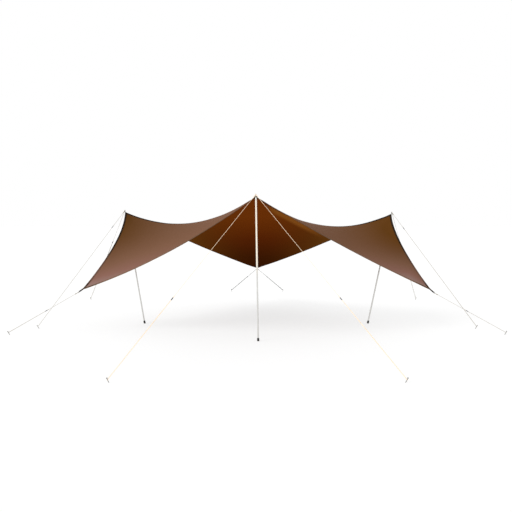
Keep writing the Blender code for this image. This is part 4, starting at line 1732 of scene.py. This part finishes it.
@dataclass
class Guy:
    """A guy rope with its knots, its slider and the peg in the ground."""

    name: str
    hold: Hold
    anchor: Axes
    offset: float
    finish: str
    radius: float
    pin_radius: float = 0.004
    peg_radius: float = 0.0045
    clearance: float = 0.0002
    rope_on_peg: float = 0.045
    knot_at: float = 0.040
    straight_from: float = 0.30
    eye_loop: Span = (0.0088, 0.0052)
    slider_walls: Span = (0.0024, 0.0027)
    end_taper: float = 0.16
    taper_length: float = 0.0022
    grooved: Span = (0.18, 0.82)
    groove_pitch: float = 0.128
    groove_depth: float = 0.10

    def __post_init__(self) -> None:
        """Reads the rope's line, the slider's span and the peg's axis."""
        self.bar = Bar.of(f"{self.name}_rope")
        self.down = self.bar.direction
        rim = node_points(f"{self.name}_slider") @ self.down
        self.slider_span = (float(rim.min()), float(rim.max()))
        peg = node_points(f"{self.name}_peg")
        ground = peg[peg[:, 2] < 1e-4].mean(axis=0)
        far = np.linalg.norm(peg - ground, axis=1)
        crown = peg[np.argsort(far)[-16:]].mean(axis=0)
        self.peg = Axes.along(ground, crown)
        self.peg_length = float(np.linalg.norm(crown - ground))
        self.peg_side = unit(np.cross(self.peg.up, self.down))
        self.gap = self.radius * 1.25

    def at(self, place: float, aside: float = 0.0) -> np.ndarray:
        """The point at that place along the rope's line, moved aside the way the peg's loop is wide."""
        start = self.bar.start
        return start + self.down * (place - start @ self.down) + self.peg_side * aside

    def upper_loop(self) -> tuple[list[np.ndarray], np.ndarray, np.ndarray]:
        """The loop at the upper end.

        Returns:
            Its points, the point that it is round, and the direction in which its strands are apart.
        """
        if self.hold is Hold.PIN:
            centre = self.anchor.place + self.anchor.up * self.offset
            across = np.cross(self.anchor.up, self.down)
            side = unit(across)
            wide = self.pin_radius + self.radius + self.clearance
            ahead = self.down * (wide / max(np.linalg.norm(across), 0.3))
        else:
            centre = self.anchor.place + self.anchor.across * self.offset
            side = self.anchor.up
            back, wide = self.eye_loop
            ahead = self.anchor.out * back
        return half_loop(centre, -side * wide, -ahead), centre, side

    def rope(self) -> None:
        """The rope from its upper loop through the slider, round the peg and back to its stopper knot."""
        loop, centre, side = self.upper_loop()
        thick = self.radius
        coil = 7.0 * thick
        start = centre @ self.down
        drift = centre - self.at(start)
        knot = start + self.knot_at
        upper, lower = self.slider_span
        gap = self.gap

        def near_top(place: float, aside: float) -> np.ndarray:
            """A point beside the line close to the upper knot."""
            share = max(0.0, 1.0 - (place - start) / self.straight_from)
            return self.at(place) + drift * share + side * aside

        wide = self.peg_radius + thick + self.clearance
        held = self.peg.place + self.peg.up * self.rope_on_peg
        back = wide / np.linalg.norm(np.cross(self.peg.up, self.down))
        below = held @ self.down - 0.02
        points = [
            near_top(knot + coil + 0.014, -thick * 1.5), near_top(knot + coil + 0.004, -thick * 0.9),
            near_top(knot, -thick * 0.8), near_top(knot - 0.008, -thick * 1.2), *loop,
            near_top(knot - 0.008, thick * 1.2), near_top(knot, thick * 0.8),
            near_top(knot + coil, thick * 0.5), near_top(knot + coil + 0.02, 0.0),
            near_top(start + 0.31, 0.0), self.at(upper - 0.09), self.at(upper - 0.03, gap * 0.8),
            self.at(upper, gap), self.at(lower, gap), self.at(below, wide),
            *half_loop(held, self.peg_side * wide, self.down * back), self.at(below, -wide),
            self.at(lower, -gap), self.at(upper, -gap), self.at(upper - 0.022, -gap * 1.3),
            self.at(upper - 0.036, -gap * 2.0)]
        shell = Shell()
        shell.tube(np.array(points), thick)
        self.coil(shell, near_top(knot, 0.0), side, coil, 2.35 * thick, 3.5)
        self.coil(shell, self.at(upper - 0.013, -gap * 1.1), self.peg_side, 2.6 * thick, 1.25 * thick, 1.6)
        shell.piece(f"{self.name}_guy_rope", "rope", [self.finish], f"{self.name}_rope", sharp=50.0)

    def coil(self, shell: Shell, start: np.ndarray, side: np.ndarray, length: float, radius: float,
             turns: float) -> None:
        """Rope wound round the line, as the body of a knot.

        Args:
            shell: The rope's mesh.
            start: Where it begins.
            side: A direction across the line.
            length: How long it is.
            radius: The coil's radius, to the middle of the rope.
            turns: How many turns it has.
        """
        side = unit(side - self.down * (side @ self.down))
        other = np.cross(self.down, side)
        share = np.linspace(0.0, 1.0, int(turns * 14))[:, None]
        angle = share * turns * FULL_TURN
        path = start + self.down * share * length + radius * (side * np.cos(angle) + other * np.sin(angle))
        shell.tube(path, self.radius)

    def slider(self) -> None:
        """The slider: a flat barrel with finger grooves, round the rope's two strands."""
        upper, lower = self.slider_span
        wide = self.gap + self.radius + self.slider_walls[0]
        thin = self.radius + self.slider_walls[1]
        share = np.arange(47) / 46
        edge = np.minimum(share, 1 - share) * (lower - upper)
        first, last = self.grooved
        waves = 0.5 - 0.5 * np.cos(FULL_TURN * (share - first) / self.groove_pitch)
        groove = np.where((share > first) & (share < last), waves, 0.0)
        taper = 1 - smooth_step(edge, 0.0, self.taper_length)
        scales = 1.0 - self.end_taper * taper - self.groove_depth * groove
        angle = np.arange(28)[:, None] * FULL_TURN / 28
        square = np.abs(np.cos(angle)) ** 0.8 * np.sign(np.cos(angle))
        section = wide * square * self.peg_side + thin * np.sin(angle) * np.cross(self.down, self.peg_side)
        rings = np.array([self.at(place) + scale * section
                          for place, scale in zip(upper + share * (lower - upper), scales)])
        shell = Shell()
        shell.column(rings, self.down, self.down)
        shell.piece(f"{self.name}_rope_slider", "slider", ["slider_metal"], f"{self.name}_slider", sharp=40.0)

    def ground_peg(self) -> None:
        """The steel peg, cut level with the ground."""
        top = self.peg_length
        wide = self.peg_radius
        profile = [(wide, 0.0), (wide, 0.006), (wide, top - 0.0135), (wide + 0.0004, top - 0.0115),
                   (wide + 0.0020, top - 0.0095), (0.0082, top - 0.0082), (0.0090, top - 0.0068),
                   (0.0090, top - 0.0042), (0.0084, top - 0.0022), (0.0070, top - 0.0008), (0.0048, top)]
        shell = Shell()
        shell.turned(profile, self.peg, 28, on_ground=True)
        shell.piece(f"{self.name}_ground_peg", "steel", ["forged_steel"], f"{self.name}_peg", sharp=50.0)

    def build(self) -> None:
        """Builds the rope, the slider and the peg."""
        self.rope()
        self.slider()
        self.ground_peg()


# Setting


@dataclass(frozen=True)
class Studio:
    """The pale floor, the soft lights and the camera at the photograph's place."""

    floor_half: float = 400.0
    floor_dark: Colour = (0.22, 0.22, 0.22)
    floor_light: Colour = (0.24, 0.24, 0.24)
    floor_glow: float = 0.71
    white: Colour = (1.0, 1.0, 1.0)
    world_strength: float = 1.0
    sun_strength: float = 1.6
    sun_tilt: float = 50.0
    sun_turn: float = -60.0
    sun_spread: float = 30.0

    def floor(self) -> None:
        """A plain pale floor that runs to the horizon, lit a little from beneath to soften the shadow."""
        paint = Paint("studio_floor", Specular_IOR_Level=0.1, Emission_Color=self.white,
                      Emission_Strength=self.floor_glow)
        paint.dress(paint.mix(paint.cloudy(0.15, 2.0), self.floor_dark, self.floor_light), 0.9)
        half = self.floor_half
        shell = Shell()
        shell.add(np.array([(-half, -half, 0.0), (half, -half, 0.0), (half, half, 0.0), (-half, half, 0.0)]),
                  np.array([(0, 1, 2, 3)]))
        shell.build("studio_floor", ["studio_floor"])

    def light(self) -> None:
        """An even white surround and a broad soft sun from the front left."""
        scene = bpy.context.scene
        scene.world = bpy.data.worlds.new("studio")
        scene.world.use_nodes = True
        back = scene.world.node_tree.nodes["Background"]
        back.inputs["Color"].default_value = (*self.white, 1.0)
        back.inputs["Strength"].default_value = self.world_strength
        sun = bpy.data.lights.new("soft_sun", "SUN")
        sun.energy = self.sun_strength
        sun.angle = math.radians(self.sun_spread)
        lamp = bpy.data.objects.new("soft_sun", sun)
        lamp.rotation_euler = (math.radians(self.sun_tilt), 0.0, math.radians(self.sun_turn))
        scene.collection.objects.link(lamp)
        scene.view_settings.view_transform = "Standard"

    def camera(self) -> None:
        """The camera that took the photograph."""
        lens = bpy.data.cameras.new("photo_camera")
        lens.sensor_width = SENSOR_WIDTH
        lens.lens = FOCAL_PIXELS / PHOTO_SIZE * SENSOR_WIDTH
        lens.shift_x = (PHOTO_SIZE / 2 - PHOTO_AXIS) / PHOTO_SIZE
        lens.clip_end = 2000.0
        holder = bpy.data.objects.new("photo_camera", lens)
        holder.location = CAMERA_PLACE
        holder.rotation_euler = (math.pi / 2 - CAMERA_DOWN, 0.0, 0.0)
        bpy.context.scene.collection.objects.link(holder)
        bpy.context.scene.camera = holder

    def build(self) -> None:
        """Sets everything up."""
        self.floor()
        self.light()
        self.camera()


def main_foot() -> np.ndarray:
    """Where the main pole meets the ground."""
    places = {mount["name"]: mount["pos_m"] for mount in frame["record"]["mounts"]}
    return np.array(places["main_foot_rest"], float)


def build_sheet() -> list[Corner]:
    """Builds the sheet with all that is sewn to it.

    Returns:
        The sheet's corners.
    """
    cut = TarpCut()
    sheet = Sheet(Net(cut, main_foot() - np.array(cut.main_foot)), Creases())
    corners = all_corners(sheet)
    stitcher = Stitcher(sheet)
    canopy = Canopy(sheet, corners, stitcher)
    cloth = canopy.cloth()
    canopy.hem()
    canopy.seams()
    for corner in corners:
        trim = CornerTrim(sheet, corner, stitcher)
        trim.patch()
        if corner.kind is CornerKind.RAISED:
            trim.grommet()
        else:
            trim.tab()
    stitcher.pieces.append(stitcher.shell.piece("seam_stitches", "cloth", ["seam_thread"]))
    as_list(stitcher.pieces)
    return corners


@dataclass(frozen=True)
class Tie:
    """The ropes of one corner, with how far each lies from the middle of the pin or the eye."""

    corner: str
    hold: Hold
    ropes: tuple[str, ...]
    finish: str
    radius: float = 0.0030
    aside: float = 0.0


TIES = (Tie("front", Hold.PIN, ("main_left", "main_right"), "cream_rope", 0.0024, 0.0025),
        Tie("left_pole", Hold.PIN, ("left_pole_front", "left_pole_rear"), "grey_cord", 0.0028, 0.0029),
        Tie("right_pole", Hold.PIN, ("right_pole_front", "right_pole_rear"), "grey_cord", 0.0028, 0.0029),
        Tie("left_low", Hold.EYE, ("left_low",), "grey_cord"),
        Tie("right_low", Hold.EYE, ("right_low",), "grey_cord"),
        Tie("back", Hold.EYE, ("back_left", "back_right"), "dark_cord", aside=0.0032))

# How far up a pole's pin, and how far out in a low corner's tab, the ropes are held.
ON_PIN = 0.033
IN_EYE = 0.08175


def build_guys(corners: Sequence[Corner], poles: dict[str, Pole]) -> None:
    """Builds the ten ropes with their sliders and pegs.

    Args:
        corners: The sheet's corners.
        poles: The poles by the name of the corner that they raise.
    """
    by_name = {corner.name: corner.axes for corner in corners}
    for tie in TIES:
        axes = by_name[tie.corner]
        if tie.hold is Hold.PIN:
            pole = poles[tie.corner].axes
            anchor = replace(pole, place=axes.place + pole.up * ON_PIN)
            aside = tie.aside
        else:
            anchor = replace(axes, place=axes.place + axes.out * IN_EYE)
            aside = math.copysign(tie.aside, axes.across[0])
        for name, side in zip(tie.ropes, (-1.0, 1.0)):
            Guy(name, tie.hold, anchor, side * aside, tie.finish, tie.radius).build()


def main() -> None:
    """Builds the tarp and its setting."""
    logging.basicConfig(level=logging.INFO, format="%(name)s: %(message)s")
    Studio().build()
    for finish in FINISHES:
        finish.make()
    corners = build_sheet()
    poles = {"front": Pole("main_pole", ("lower", "middle", "upper")),
             "left_pole": Pole("left_pole", ("lower", "upper")),
             "right_pole": Pole("right_pole", ("lower", "upper"))}
    for pole in poles.values():
        pole.build()
    build_guys(corners, poles)


if __name__ == "__main__":
    main()
